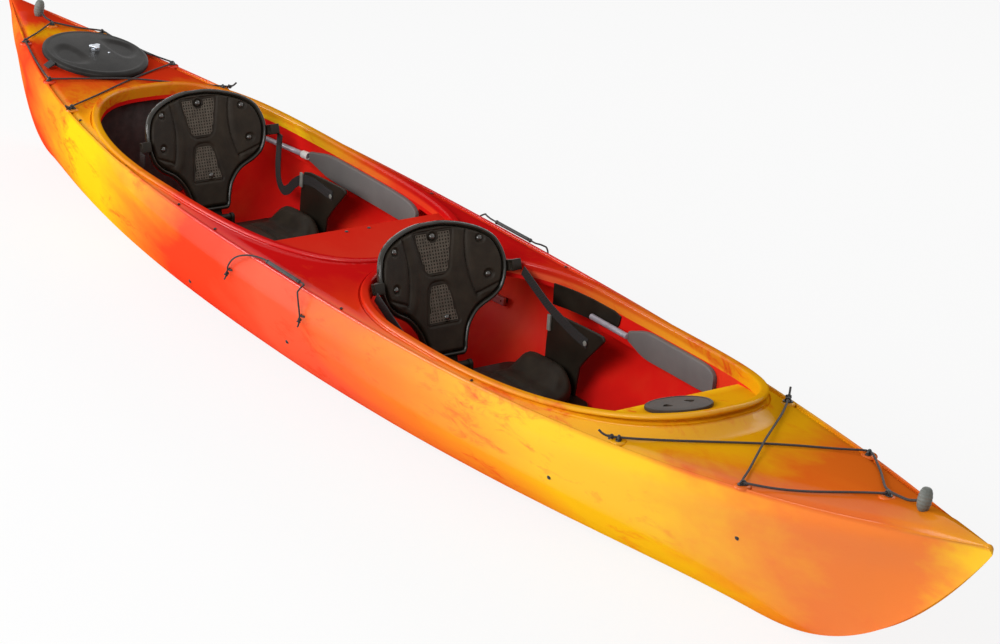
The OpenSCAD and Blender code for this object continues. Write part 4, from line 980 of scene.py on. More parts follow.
def set_in_rows(head, material, spots):
    """Copies of a head on (place, direction or quaternion) spots, as one mesh."""
    points = bpy.data.meshes.new("spots")
    points.from_pydata([tuple(place) for place, turn in spots], [], [])
    turns = points.attributes.new("turn", "FLOAT_VECTOR", "POINT")
    for i, (place, turn) in enumerate(spots):
        turn = turn if len(turn) == 4 else Vector(turn).to_track_quat("Z", "Y")
        turns.data[i].vector = turn.to_euler()
    holder = new_object("head", head)
    mesh = grown(points, set_on_points, Head=holder, Material=material)
    bpy.data.objects.remove(holder)
    return smooth_by_angle(mesh, 40)


black_steel = clouded("black_steel", [(0.016, 0.016, 0.017), (0.036, 0.035, 0.035)], 200,
                      (1200, 0.34, 0.16, 0.1), Metallic=0.6)
crease_screws = [-1.303, -0.910, -0.556, -0.339, 0.324, 0.886]
screw_in, screw_sunk = 0.021, 0.0024
screw_spots = []
for x in crease_screws:
    y = at(half_beam, x) - screw_in
    screw_spots += [((x, side * y, at(deck_z, x, y) - screw_sunk), (0, 0.25 * side, 1)) for side in (1, -1)]
placed("deck_screws", set_in_rows(head_mesh(0.0042, 0.0022, 0.4), black_steel, screw_spots), black_steel,
       [], "hull")
tray_spots = [((tray_aft + 0.022, side * 0.036, tray_high + 0.0004), (0, 0, 1)) for side in (1, -1)]
placed("tray_rivets", set_in_rows(head_mesh(0.005, 0.0026, 0), black_steel, tray_spots), black_steel,
       ["bridge_rivets"])
hatch_up = hatch_place.to_3x3() @ Vector((0, 0, 1))
screw_at = hatch_place @ Vector((0.034, 0.030, at(cover_top, 0.034, 0.030) + 0.0003))
placed("hatch_screw_head", set_in_rows(head_mesh(0.004, 0.002, 0.5), bright, [(screw_at, hatch_up)]),
       bright, ["hatch_screw"])
eased("rail_screw_set", "rail_screws", 0.0008, black_steel)

# The dash: a round twist lid with two finger pockets over a storage cup let into the shelf. Both are
# moulded in brown-black plastic; the lid's edge is knurled for grip.
dash_plastic = clouded("dash_plastic", [(0.030, 0.022, 0.017), (0.050, 0.038, 0.030)], 20,
                       (800, 0.40, 0.12, 0.18), Specular_IOR_Level=0.14)
lid_turn = full_turn(288)
lid_knurl = 0.0007 * (0.5 + 0.5 * np.cos(72 * lid_turn))
# Steps up the lid: radius, share of the knurl and height
lid_steps = [(0.0790, 0, 0), (0.0815, 0.4, 0.0004), (0.0825, 1, 0.0014), (0.0825, 1, 0.0070),
             (0.0818, 0.5, 0.0085), (0.0800, 0, 0.0096), (0.0775, 0, 0.0100), (0.0745, 0, 0.0099),
             (0.0735, 0, 0.0090), (0.0725, 0, 0.0089), (0.0715, 0, 0.0092), (0.05, 0, 0.0094),
             (0.02, 0, 0.0094)]
lid_skin = lathed("dash_lid_skin", lid_turn, [(r - share * lid_knurl, z) for r, share, z in lid_steps])
pocket_edge = [(-0.014, -0.009), (0.014, -0.009), (0.014, 0), (0, 0.013), (-0.014, 0)]
pockets = []
for side in (1, -1):
    pocket = [(x, 0.034 * side + y * side) for x, y in pocket_edge][::side]
    pockets.append(("DIFFERENCE", rounded(prism("pocket", pocket, 0.0040, 0.02), 0.0018)))
lid_mesh = shaped(lid_skin, *pockets)
lid_mesh.transform(Matrix.Translation((dash_lid_x, 0, dash_high)) @ Matrix.Rotation(-dash_tilt, 4, "Y")
                   @ Matrix.Translation((0, 0, 0.0003)))
placed("dash_lid_skin", smooth_by_angle(lid_mesh, 30), dash_plastic, ["dash_lid"])
eased("dash_cup_skin", "dash_cup", 0.0008, dash_plastic)

# The seats: moulded brown-black shells with a smooth rolled rim, hinged on a pan that is screwed to the
# hull floor, with soft grooved padding, open mesh in the middle and a foam cushion on each pan.
seat_hinges = {"front": (0.336, 0, 0.115), "rear": (-0.946, 0, 0.115)}
back_lean, back_tall, back_wide = math.radians(19.6), 0.385, 0.400
back_wrap, back_dish, pad_thick, shell_thick, shell_gap = 0.042, 0.020, 0.014, 0.006, 0.0012
seat_plastic = clouded("seat_plastic", [(0.013, 0.010, 0.007), (0.024, 0.019, 0.013)], 14,
                       (650, 0.34, 0.14, 0.14), Specular_IOR_Level=0.18)
rim_plastic = clouded("seat_rim_plastic", [(0.016, 0.014, 0.010), (0.024, 0.021, 0.015)], 14,
                      (300, 0.16, 0.10, 0.03), Specular_IOR_Level=0.3, Coat_Weight=0.12,
                      Coat_Roughness=0.08)
pad_fabric = clouded("pad_fabric", [(0.016, 0.011, 0.007), (0.030, 0.022, 0.014)], 22,
                     (1600, 0.46, 0.14, 0.30), Specular_IOR_Level=0.18)
# Half outline of the back from its foot to its top: share of the height, share of the half width
back_edge = [(0.06, 0), (0.06, 0.22), (0.066, 0.285), (0.10, 0.325), (0.16, 0.35), (0.26, 0.42),
             (0.35, 0.565), (0.415, 0.79), (0.5, 0.935), (0.66, 1), (0.82, 0.92), (0.91, 0.74),
             (0.97, 0.47), (1, 0.2), (1.004, 0)]


def through(points, count):
    """Points evenly along a smooth line through the given ones."""
    p = np.asarray(points, float)
    p = np.concatenate([2 * p[:1] - p[1:2], p, 2 * p[-1:] - p[-2:-1]])
    u = np.linspace(0, 1, 24, endpoint=False)[:, None]
    line = [0.5 * (2 * b + (c - a) * u + (2 * a - 5 * b + 4 * c - d) * u ** 2
                   + (3 * b - a - 3 * c + d) * u ** 3)
            for a, b, c, d in zip(p[:-3], p[1:-2], p[2:-1], p[3:])]
    return spaced(np.concatenate(line + [p[-2:-1]]), count)


edge_line = through([(h * back_tall, w * back_wide / 2) for h, w in back_edge], 400)
edge_run = np.gradient(edge_line, axis=0)
edge_in = np.stack([edge_run[:, 1], -edge_run[:, 0]], -1) / np.linalg.norm(edge_run, axis=1)[:, None]


def edge_away(v, y):
    """Distance of points on the back from its outline."""
    d = np.hypot(v.ravel()[:, None] - edge_line[:, 0], np.abs(y).ravel()[:, None] - edge_line[:, 1])
    return d.min(1).reshape(v.shape)


def face_depth(y):
    """How far forward the padded face stands, wrapping round the sitter at its sides."""
    return back_wrap * (2 * y / back_wide) ** 2 - back_dish


def back_grid(inset, rows, columns):
    """Heights and half-width places over the back's outline, drawn in by an inset."""
    line = edge_line + inset * edge_in
    line = line[line[:, 1] > 0]
    order = np.argsort(line[:, 0])
    low, high = line[:, 0].min(), line[:, 0].max()
    v = low + (high - low) * (1 - np.cos(np.linspace(0.02, 0.98, rows) * math.pi)) / 2
    half = np.maximum(0.004, np.interp(v, line[order, 0], line[order, 1]))
    t = np.sin(np.linspace(-1, 1, columns) * math.pi / 2)
    return np.repeat(v[:, None], columns, 1), half[:, None] * t[None]


def slab(name, v, y, front, back):
    """A closed sheet between two depths over a grid on the back."""
    rings = np.concatenate([np.stack([front, y, v], -1), np.stack([back, y, v], -1)[:, ::-1]], 1)
    return grid_mesh(name, rings)


def edge_fall(d, radius):
    """A quarter round at an edge: 1 on it, 0 from the radius inward."""
    return 1 - np.sqrt(np.clip(1 - (1 - np.minimum(d, radius) / radius) ** 2, 0, 1))


def shell_mesh():
    """The moulded shell, with a rolled rim in front and two ribs behind."""
    rim_r, rim_stand = 0.007, 0.0125
    v, y = back_grid(0, 110, 84)
    d = edge_away(v, y)
    roll = rim_stand * np.sqrt(np.clip(1 - ((d - rim_r) / rim_r) ** 2, 0, 1))
    front = face_depth(y) - pad_thick - shell_gap + roll
    back = face_depth(y) - pad_thick - shell_gap - shell_thick + 0.0028 * edge_fall(d, 0.006)
    ribs = 0.0014 * ridge(np.abs(y) - 0.075, 0.008) * smooth_step(0, 0.03, d)
    return slab("back_shell_skin", v, y, front, back - ribs)


# Studs: share of the back's height, and place across in metres
stud_spots = [(0.585, 0.145), (0.84, 0.134), (0.585, -0.145), (0.84, -0.134), (0.9, 0.0), (0.335, 0.012)]
# Mesh panels: foot and top as shares of the height, half widths there, and the rounding of the far corners
mesh_panels = [(0.30, 0.575, 0.046, 0.027, 0.004, 0.018), (0.64, 0.93, 0.034, 0.058, 0.018, 0.004)]
notch_at, notch_r = 0.912, 0.0185


def panel_away(panel, v, y):
    """Signed distance from a panel's outline, below 0 inside; the upper one has a notch round its stud."""
    foot, top, foot_half, top_half, foot_round, top_round = panel
    foot, top = foot * back_tall, top * back_tall
    side = np.abs(y) - np.interp(v, [foot, top], [foot_half, top_half])
    end = np.where(v > (foot + top) / 2, v - top, foot - v)
    turn = np.where(v > (foot + top) / 2, top_round, foot_round)
    corner = np.hypot(np.maximum(side + turn, 0), np.maximum(end + turn, 0))
    away = corner + np.minimum(np.maximum(side, end) + turn, 0) - turn
    if panel is mesh_panels[1]:
        away = np.maximum(away, notch_r - np.hypot(v - notch_at * back_tall, y))
    return away


def pad_relief(v, y):
    """Ups and downs of the padding: sunk panels with a sewn edge, side lobes, seams and stud dimples."""
    share = v / back_tall
    relief = np.zeros_like(v)
    for panel in mesh_panels:
        s = panel_away(panel, v, y)
        relief -= 0.0034 * smooth_step(0.002, -0.002, s) + 0.0040 * ridge(s - 0.004, 0.0028)
    lobe = np.abs(y) - (0.090 + 0.016 * ((share - 0.72) / 0.25) ** 2)
    upper = smooth_step(0.43, 0.47, share)
    relief -= 0.0052 * ridge(lobe, 0.0032) * upper
    relief += 0.0030 * ridge(lobe + 0.018, 0.012) * smooth_step(0.36, 0.46, share)
    relief += 0.0028 * smooth_step(0.004, 0.016, lobe) * upper
    lobe_foot = share - 0.455 - 0.9 * np.maximum(0, np.abs(y) - 0.10)
    relief -= 0.0048 * ridge(lobe_foot * back_tall, 0.0034) * (lobe > 0)
    for height, across in stud_spots:
        r = np.hypot(v - height * back_tall, y - across)
        relief -= 0.0056 * (1 - smooth_step(0.0108, 0.0150, r))
    return relief


def pad_mesh():
    """The soft pad inside the shell's rim, its own edge rounded over."""
    inset, edge_r = 0.0155, 0.0085
    v, y = back_grid(inset, 190, 170)
    d = np.maximum(0, edge_away(v, y) - inset)
    front = face_depth(y) + pad_relief(v, y) * smooth_step(0, 0.006, d) - edge_r * edge_fall(d, edge_r)
    return slab("back_pad_skin", v, y, front, face_depth(y) - pad_thick)


def mesh_tree():
    """Square holes through a sheet: each face is drawn in, its middle removed and the rest thickened."""
    tree, add, given = geometry_tree("open_mesh", Hole="Float", Thickness="Float", Material="Material")
    inner = add("GeometryNodeExtrudeMesh", {"mode": "FACES"}, Mesh=given["Geometry"],
                **{"Offset Scale": 0.0, "Individual": True})
    drawn = add("GeometryNodeScaleElements", {"domain": "FACE"}, Geometry=inner.outputs["Mesh"],
                Selection=inner.outputs["Top"], Scale=given["Hole"])
    holed = add("GeometryNodeDeleteGeometry", {"domain": "FACE"}, Geometry=drawn.outputs[0],
                Selection=inner.outputs["Top"])
    welded = add("GeometryNodeMergeByDistance", Geometry=holed.outputs[0], Distance=1e-5)
    raised = add("GeometryNodeExtrudeMesh", {"mode": "FACES"}, Mesh=welded.outputs[0],
                 **{"Offset Scale": given["Thickness"], "Individual": False})
    under = add("GeometryNodeFlipFaces", Mesh=welded.outputs[0])
    both = add("GeometryNodeJoinGeometry")
    tree.links.new(raised.outputs["Mesh"], both.inputs[0])
    tree.links.new(under.outputs[0], both.inputs[0])
    closed = add("GeometryNodeMergeByDistance", Geometry=both.outputs[0], Distance=1e-5)
    end_tree(add, given, closed.outputs[0])
    return tree


def panel_sheet(panel, pitch):
    """Quads over a panel, the outer ones drawn in to its outline, laid into the pad's recess."""
    rows = int((panel[1] - panel[0]) * back_tall / pitch) + 2
    columns = 2 * (int(max(panel[2:4]) / pitch) + 2)
    v, y = np.meshgrid(panel[0] * back_tall + pitch * (np.arange(rows + 1) - 0.5),
                       pitch * (np.arange(columns + 1) - columns / 2), indexing="ij")
    kept = panel_away(panel, v[:-1, :-1] + pitch / 2, y[:-1, :-1] + pitch / 2) < -0.0004
    edge_gap, sunk, step = 0.0006, 0.0026, 1e-4
    for _ in range(3):
        s = np.maximum(0, panel_away(panel, v, y) + edge_gap)
        slope_v = (panel_away(panel, v + step, y) - panel_away(panel, v - step, y)) / (2 * step)
        slope_y = (panel_away(panel, v, y + step) - panel_away(panel, v, y - step)) / (2 * step)
        v, y = v - s * slope_v, y - s * slope_y
    points = np.stack([face_depth(y) - sunk, y, v], -1).reshape(-1, 3)
    width = columns + 1
    faces = [[i * width + j, i * width + j + 1, (i + 1) * width + j + 1, (i + 1) * width + j]
             for i in range(rows) for j in range(columns) if kept[i, j]]
    used = sorted({k for face in faces for k in face})
    renumber = {k: n for n, k in enumerate(used)}
    sheet = bpy.data.meshes.new("panel_sheet")
    sheet.from_pydata(points[used].tolist(), [], [[renumber[k] for k in face] for face in faces])
    return sheet


mesh_fabric = clouded("mesh_fabric", [(0.086, 0.072, 0.056), (0.136, 0.116, 0.090)], 60,
                      (2200, 0.62, 0.1, 0.4), Specular_IOR_Level=0.25)
mesh_sheet = joined("mesh_sheet", [panel_sheet(panel, 0.0088) for panel in mesh_panels])
mesh_holed = grown(mesh_sheet, mesh_tree(), Hole=0.54, Thickness=0.0014, Material=mesh_fabric)
stud_plastic = clouded("stud_plastic", [(0.030, 0.026, 0.021), (0.048, 0.042, 0.034)], 30,
                       (300, 0.14, 0.08, 0.02), Coat_Weight=0.6)
stud_r, stud_rise, stud_sunk = 0.0092, 0.0078, 0.0046


def stud_head():
    arc = np.linspace(-0.25, 1, 10)[:-1] * math.pi / 2
    mesh = lathed("stud", full_turn(32), [(stud_r * math.cos(a), stud_rise * math.sin(a)) for a in arc])
    mesh.shade_smooth()
    return mesh


def cushion_start():
    """The cushion's unfilled shape: drawn-in sides, a soft crown, two sewn channels and raised bolsters."""
    long, wide, tall, bolster, squareness = 0.262, 0.445, 0.042, 0.056, 0.45
    a = full_turn(120)
    c, s = np.cos(a), np.sin(a)
    pinch = 1 - 0.03 * np.cos(2 * a) ** 2
    base = np.stack([pinch * long / 2 * np.sign(c) * np.abs(c) ** squareness,
                     pinch * wide / 2 * np.sign(s) * np.abs(s) ** squareness], -1) * 0.985

    def crown(flat, share):
        fore_fall = 1 - 0.75 * smooth_step(0.03, 0.13, flat[:, 0])
        side = smooth_step(0.135, 0.200, np.abs(flat[:, 1])) * fore_fall
        return tall * (0.74 + 0.26 * (1 - share ** 2)) + bolster * side

    rings = [np.column_stack([base * share, np.full(len(a), 0.001)]) for share in (0.5, 0.93)]
    for share, level in ((0.98, 0.15), (1, 0.4), (1, 0.72), (0.985, 0.92)):
        rings.append(np.column_stack([base * share, level * crown(base, 1)]))
    for share in np.linspace(0.95, 0.03, 22):
        flat = base * share
        channel = ridge(np.abs(flat[:, 1]) - 0.085, 0.007) * (share < 0.9)
        rings.append(np.column_stack([flat, crown(flat, share) - 0.011 * channel]))
    return grid_mesh("cushion_start", np.stack(rings))


def filled(mesh, cap, frames=20):
    """Foam swelling its cover: a short cloth run under pressure, no point moving further than the cap."""
    mesh = after(mesh, "REMESH", mode="VOXEL", voxel_size=0.0055)
    start = np.array([v.co for v in mesh.vertices])
    work = new_object("work", mesh)
    cloth = work.modifiers.new("cloth", "CLOTH")
    cloth.settings.use_pressure = True
    cloth.settings.uniform_pressure_force = 4
    cloth.settings.effector_weights.gravity = 0
    cloth.settings.quality = 5
    cloth.point_cache.frame_start = 1
    cloth.point_cache.frame_end = frames
    for number in range(1, frames + 1):
        bpy.context.scene.frame_set(number)
    mesh = baked(work)
    bpy.data.objects.remove(work)
    bpy.context.scene.frame_set(1)
    move = np.array([v.co for v in mesh.vertices]) - start
    far = np.linalg.norm(move, axis=1)[:, None]
    points = start + move * np.minimum(1, cap / np.maximum(far, 1e-9))
    points[:, 2] = np.maximum(points[:, 2], 0.0004)
    mesh.vertices.foreach_set("co", points.ravel())
    mesh = after(mesh, "SMOOTH", factor=0.5, iterations=3)
    mesh = after(mesh, "SUBSURF", levels=1, render_levels=1)
    mesh.shade_smooth()
    return mesh


# Outline of a hip plate: along from the hinge and up from the pan, in millimetres
hip_edge = [(80, 0), (222, 0), (237, 88), (262, 118), (318, 176), (337, 196), (330, 207), (300, 207),
            (132, 199), (100, 191), (88, 150), (84, 108)]
hip_in, hip_thick, pan_top = 0.232, 0.008, 0.068


def hip_mesh(hinge):
    """The two upright plates at the sides of a seat."""
    plates = []
    for side in (1, -1):
        across = side * (hip_in + hip_thick / 2)
        place = Matrix(((1, 0, 0, hinge[0]), (0, 0, -1, across), (0, 1, 0, pan_top), (0, 0, 0, 1)))
        outline = [(x / 1000, z / 1000) for x, z in hip_edge]
        plates.append(prism("hip", outline, -hip_thick / 2, hip_thick / 2, place))
    return joined("hip_plates", plates)


def moved(mesh, place):
    copy = mesh.copy()
    copy.transform(place)
    return copy


cushion_fill = filled(cushion_start(), 0.006)
cushion_fore, cushion_z = 0.1575, 0.0683
back_shell = smooth_by_angle(shell_mesh(), 50)
back_pad = smooth_by_angle(pad_mesh(), 60)
smooth_by_angle(mesh_holed, 30)
for seat, hinge in seat_hinges.items():
    stand = Matrix.Translation(hinge) @ Matrix.Rotation(-back_lean, 4, "Y")
    placed(seat + "_back_shell_skin", moved(back_shell, stand), rim_plastic, [seat + "_back_shell"])
    pad = placed(seat + "_back_pad_skin", moved(back_pad, stand), pad_fabric, [seat + "_back_pad"])
    placed(seat + "_back_mesh_panels", moved(mesh_holed, stand), mesh_fabric, [seat + "_back_mesh"])
    spots = []
    for height, across in stud_spots:
        out = Vector((1, -4 * back_wrap * 2 * across / back_wide ** 2, 0)).normalized()
        base = Vector((float(face_depth(across)) - stud_sunk, across, height * back_tall))
        spots.append((stand @ base, stand.to_3x3() @ out))
    placed(seat + "_back_stud_heads", set_in_rows(stud_head(), stud_plastic, spots), stud_plastic,
           [seat + "_back_studs"])
    eased(seat + "_hinge_leaf", seat + "_back_bracket", 0.0012, seat_plastic)
    eased(seat + "_hinge_rod", seat + "_hinge_pin", 0.0008, bright)
    eased(seat + "_seat_pan", seat + "_seat_base", 0.0025, seat_plastic)
    cushion_place = Matrix.Translation((hinge[0] + cushion_fore, 0, cushion_z))
    seat_fill = placed(seat + "_cushion_fill", moved(cushion_fill, cushion_place), pad_fabric,
                       [seat + "_cushion"])
    placed(seat + "_hip_plate_pair", rounded(hip_mesh(hinge), 0.0024), seat_plastic, [seat + "_hip_plates"])
    eased(seat + "_strap_lock_pair", seat + "_strap_locks", 0.0014, seat_plastic)

# The back straps: flat woven webbing from a lock at the back's edge to a rivet on the hip plate, taut at
# the front seat and hanging in a loop at the rear one. Grey plastic tabs and rivets hold their ends.
def swept(name, points, section, ups=None):
    """A section carried along points, with a UV map of metres along and share round; gives the mesh."""
    points = np.asarray(points, float)
    run = np.gradient(points, axis=0)
    run /= np.linalg.norm(run, axis=1)[:, None]
    side = np.empty_like(run)
    start = np.cross(run[0], (0, 0, 1) if abs(run[0][2]) < 0.9 else (1, 0, 0))
    side[0] = start / np.linalg.norm(start)
    for i in range(1, len(points)):
        flat = side[i - 1] - run[i] * (side[i - 1] @ run[i])
        side[i] = flat / np.linalg.norm(flat)
    if ups is not None:
        side = np.cross(run, ups)
        side /= np.linalg.norm(side, axis=1)[:, None]
    up = np.cross(run, side)
    section = np.asarray(section, float)
    rings = points[:, None] + (section[None, :, :1] * side[:, None] + section[None, :, 1:] * up[:, None])
    mesh = grid_mesh(name, rings)
    rows, count = rings.shape[:2]
    far = run_along(points)
    i, j = np.meshgrid(np.arange(rows - 1), np.arange(count), indexing="ij")
    around = [np.stack([far[i + di], (j + dj) / count], -1) for di, dj in ((0, 0), (0, 1), (1, 1), (1, 0))]
    caps = np.tile([[far[0], 0.5]] * 3 + [[far[-1], 0.5]] * 3, (count, 1))
    uv = np.concatenate([np.stack(around, 2).reshape(-1, 2), caps])
    mesh.uv_layers.new(name="run").data.foreach_set("uv", uv.astype(np.float32).ravel())
    return smooth_by_angle(mesh, 45)


def weave_group():
    """Threads over a UV map: diagonal strands for cords, straight ribs for webbing."""
    tree, add, given, give = node_group("thread_weave", {"Along": 900, "Round": 8, "Slant": 1.0},
                                        ["Height", "Wear"])
    run = add("ShaderNodeUVMap", {"uv_map": "run"}).outputs[0]
    parts = add("ShaderNodeSeparateXYZ", Vector=run).outputs
    turned = calc(add, "MULTIPLY", parts["Y"], given["Round"])
    slanted = calc(add, "MULTIPLY", calc(add, "MULTIPLY", parts["X"], given["Along"]), given["Slant"])
    waves = [calc(add, "SINE", calc(add, "MULTIPLY", calc(add, operation, turned, slanted), 2 * math.pi))
             for operation in ("ADD", "SUBTRACT")]
    place = add("ShaderNodeTexCoord").outputs["Object"]
    fuzz = add("ShaderNodeTexNoise", Vector=place, Scale=500.0, Detail=3).outputs["Fac"]
    give(Height=calc(add, "MULTIPLY_ADD", fuzz, 0.6, calc(add, "MAXIMUM", *waves)), Wear=fuzz)
    return tree


thread_weave = weave_group()


def woven(name, dark, pale, along, strands, slant, rough):
    """A woven material: threads to the metre, strands round, their slant and the roughness."""
    material, add, shader = finish(name)
    weave = add("ShaderNodeGroup", {"node_tree": thread_weave}, Along=along, Round=strands, Slant=slant)
    tone = ramp(add, weave.outputs["Wear"], [(0.35, dark), (0.65, pale)])
    link(material, tone, shader.inputs["Base Color"])
    bump = add("ShaderNodeBump", Strength=0.55, Distance=0.0006, Height=weave.outputs["Height"])
    link(material, bump.outputs["Normal"], shader.inputs["Normal"])
    shader.inputs["Roughness"].default_value = rough
    return material


webbing = woven("webbing", (0.010, 0.009, 0.009), (0.024, 0.022, 0.021), 260, 7, 0.5, 0.72)
strap_half, strap_thick, strap_y, strap_steps = 0.0145, 0.0020, 0.2307, 90
strap_section = [(-strap_half, -strap_thick / 2), (0, -strap_thick / 2), (strap_half, -strap_thick / 2),
                 (strap_half, strap_thick / 2), (0, strap_thick / 2), (-strap_half, strap_thick / 2)]
# Strap routes: along from the hinge and up from the pan, in millimetres
strap_routes = {"front": [(-38, 268), (4, 248), (60, 222), (98, 206), (160, 188), (215, 174), (268, 166)],
                "rear": [(-42, 268), (-46, 220), (-48, 165), (-40, 122), (-14, 100), (18, 112), (52, 142),
                         (100, 168), (160, 176), (215, 172), (268, 168)]}
tab_plastic = clouded("tab_plastic", [(0.20, 0.21, 0.19), (0.28, 0.29, 0.26)], 60, (900, 0.36, 0.12, 0.12))
for seat, hinge in seat_hinges.items():
    route = through([(hinge[0] + x / 1000, pan_top + z / 1000) for x, z in strap_routes[seat]], strap_steps)
    bands = []
    for side in (1, -1):
        line = np.column_stack([route[:, 0], np.full(strap_steps, side * strap_y), route[:, 1]])
        bands.append(swept("band", line, strap_section, np.tile((0, 1.0, 0), (strap_steps, 1))))
    strap = smooth_by_angle(joined(seat + "_strap_webbing", bands), 45)
    band = new_object(seat + "_strap_webbing", painted(strap, webbing))
    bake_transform(band, "hull", seat + "_back", (hinge[0] + 0.24, 0, 0.236), (hinge[0] - 0.026, 0, 0.328))
    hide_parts(seat + "_straps")
    eased(seat + "_hip_tabs", seat + "_hip_fittings", 0.0010, tab_plastic)

# Thigh pads and tubes: grey foam pads glued to the coaming's skirt, each with a plain tube behind it, a
# white end piece on the rear ones and a black wall plate that holds the front ones.
thigh_thick, thigh_tall, thigh_drop, thigh_roll, thigh_gap = 0.011, 0.076, 0.038, 0.0045, 0.0012
# Shape of a pad: share of its length from aft, share of its height
thigh_shape = [(0, 0.38), (0.05, 0.55), (0.14, 0.86), (0.24, 1), (0.45, 1), (0.65, 1), (0.85, 0.98),
               (0.94, 0.86), (0.985, 0.6), (1, 0.35)]


def thigh_mesh(pit, aft, long):
    """A pad bent along the skirt on the port side, its inner edges rolled and its face a little swollen."""
    shape = through(thigh_shape, 60)
    x = aft + long * shape[:, 0]
    tall = thigh_tall * shape[:, 1]
    middle = pit.rim(x) - thigh_drop - thigh_tall / 2
    out = pit.side(x) - rim_half - thigh_gap
    turn = np.linspace(0, math.pi / 2, 7)
    roll, flat = thigh_roll, -(thigh_thick - thigh_roll)
    profile = [(0, -1, 0), (0, 1, 0)]
    profile += [(flat - roll * math.sin(t), 1, -roll + roll * math.cos(t)) for t in turn]
    profile += [(flat - roll * math.cos(t), -1, roll - roll * math.sin(t)) for t in turn]
    rings = []
    for deep, edge, inward in profile:
        swell = 1.10 if deep < -0.008 else 1
        rings.append(np.stack([x, out + deep * swell, middle + edge * tall / 2 + inward], -1))
    return grid_mesh("thigh_pad", np.stack(rings, 1)[:, ::-1])


def both_sides(name, mesh, degrees):
    """A port mesh and its mirror image as one, smoothed."""
    bm = bmesh.new()
    bm.from_mesh(mesh)
    bmesh.ops.scale(bm, vec=(1, -1, 1), verts=bm.verts)
    bmesh.ops.reverse_faces(bm, faces=bm.faces)
    mirrored = bpy.data.meshes.new(name + "_mirror")
    bm.to_mesh(mirrored)
    bm.free()
    return smooth_by_angle(joined(name, [mesh, mirrored]), degrees)


pad_foam = clouded("thigh_foam", [(0.118, 0.110, 0.106), (0.142, 0.133, 0.127)], 12, (1100, 0.62, 0.1, 0.2))
for name, pit, aft, long in (("front_thigh_pads", front_pit, 0.690, 0.397),
                             ("rear_thigh_pads", rear_pit, -0.917, 0.600)):
    pads = both_sides(name + "_foam", thigh_mesh(pit, aft, long), 50)
    placed(name + "_foam", pads, pad_foam, [name])
tube_plastic = clouded("tube_plastic", [(0.30, 0.27, 0.31), (0.40, 0.37, 0.42)], 30,
                       (600, 0.26, 0.12, 0.05), Coat_Weight=0.3)
white_plastic = clouded("white_plastic", [(0.72, 0.70, 0.67), (0.84, 0.83, 0.81)], 30,
                        (500, 0.38, 0.1, 0.1))
eased("front_tube_pair", "front_tubes", 0.0015, tube_plastic)
eased("rear_tube_pair", "rear_tubes", 0.0015, tube_plastic)
eased("tube_end_pair", "tube_ends", 0.0025, white_plastic)


def wall_plate(fore=0.640, aft=0.374, tall=0.066, thick=0.003, drop=0.034, corner=0.07):
    """A black plate bent along the coaming's skirt, its lower front corner rounded off."""
    x = np.linspace(aft, fore, 60)
    top = front_pit.rim(x) - drop - 0.006 * smooth_step(fore - 0.03, fore, x)
    cut = np.sqrt(np.clip(1 - (np.maximum(0, x - fore + corner) / corner) ** 2, 0, 1))
    low = top - (tall - 0.010) * cut - 0.004
    out = front_pit.side(x) - rim_half - 0.0008
    section = ((0, low), (0, top), (thick - 0.001, top), (thick, top - 0.001), (thick, low + 0.001),
               (thick - 0.001, low))
    rings = [np.stack([x, out - deep, level], -1) for deep, level in section]
    return grid_mesh("wall_plate", np.stack(rings, 1)[:, ::-1])


placed("wall_plate_pair", both_sides("wall_plates", wall_plate(), 40), seat_plastic, ["wall_plates"])

# The foot braces: anodised rails screwed through the hull's sides, each with a black pedal that slides
# along it and holds where it is let go.
rail_metal = clouded("rail_metal", [(0.42, 0.42, 0.43), (0.54, 0.54, 0.55)], 50, (900, 0.30, 0.14, 0.06),
                     Metallic=0.95)
eased("foot_rail_set", "foot_rails", 0.0010, rail_metal)
pedal_plastic = clouded("pedal_plastic", [(0.014, 0.014, 0.014), (0.026, 0.025, 0.024)], 24,
                        (700, 0.48, 0.12, 0.25))
for name in ("front_port_pedal", "front_starboard_pedal", "rear_port_pedal", "rear_starboard_pedal"):
    eased(name + "_block", name, 0.0022, pedal_plastic)

# The pad eyes: black nylon loops screwed to low bosses on the deck and sides, which guide the cords. One
# eye is made once and set on every boss: a flat foot with rounded ends under a round arch.
def eye_mesh():
    turn = full_turn(40)
    c = np.cos(turn)
    foot = np.stack([0.006 * np.sign(c) * (np.abs(c) > 1e-6) + 0.007 * c, 0.007 * np.sin(turn)], -1)
    steps = ((0.97, 0), (1, 0.0005), (1, 0.0020), (0.95, 0.0028), (0.8, 0.0030), (0.1, 0.0030))
    rings = [np.column_stack([foot * share, np.full(len(turn), z)]) for share, z in steps]
    sweep = np.linspace(0, math.pi, 25)
    level = np.zeros(len(sweep))
    path = np.stack([0.0070 * np.cos(sweep), level, 0.0020 + 0.0088 * np.sin(sweep)], -1)
    outward = np.stack([np.cos(sweep), level, np.sin(sweep)], -1)
    ring = full_turn(14)
    section = np.stack([0.0032 * np.cos(ring), 0.0021 * np.sin(ring)], -1)
    return joined("eye", [grid_mesh("foot", np.stack(rings)), swept("arch", path, section, outward)])


eye_plastic = clouded("eye_plastic", [(0.010, 0.010, 0.010), (0.020, 0.020, 0.020)], 60,
                      (900, 0.36, 0.12, 0.1))
eye_gap = 0.0001
eye_spots = [(place, turn.to_quaternion()) for place, turn in deck_seats(eye_gap) + side_seats(eye_gap)]
placed("pad_eye_set", set_in_rows(eye_mesh(), eye_plastic, eye_spots), eye_plastic, ["pad_eyes"])

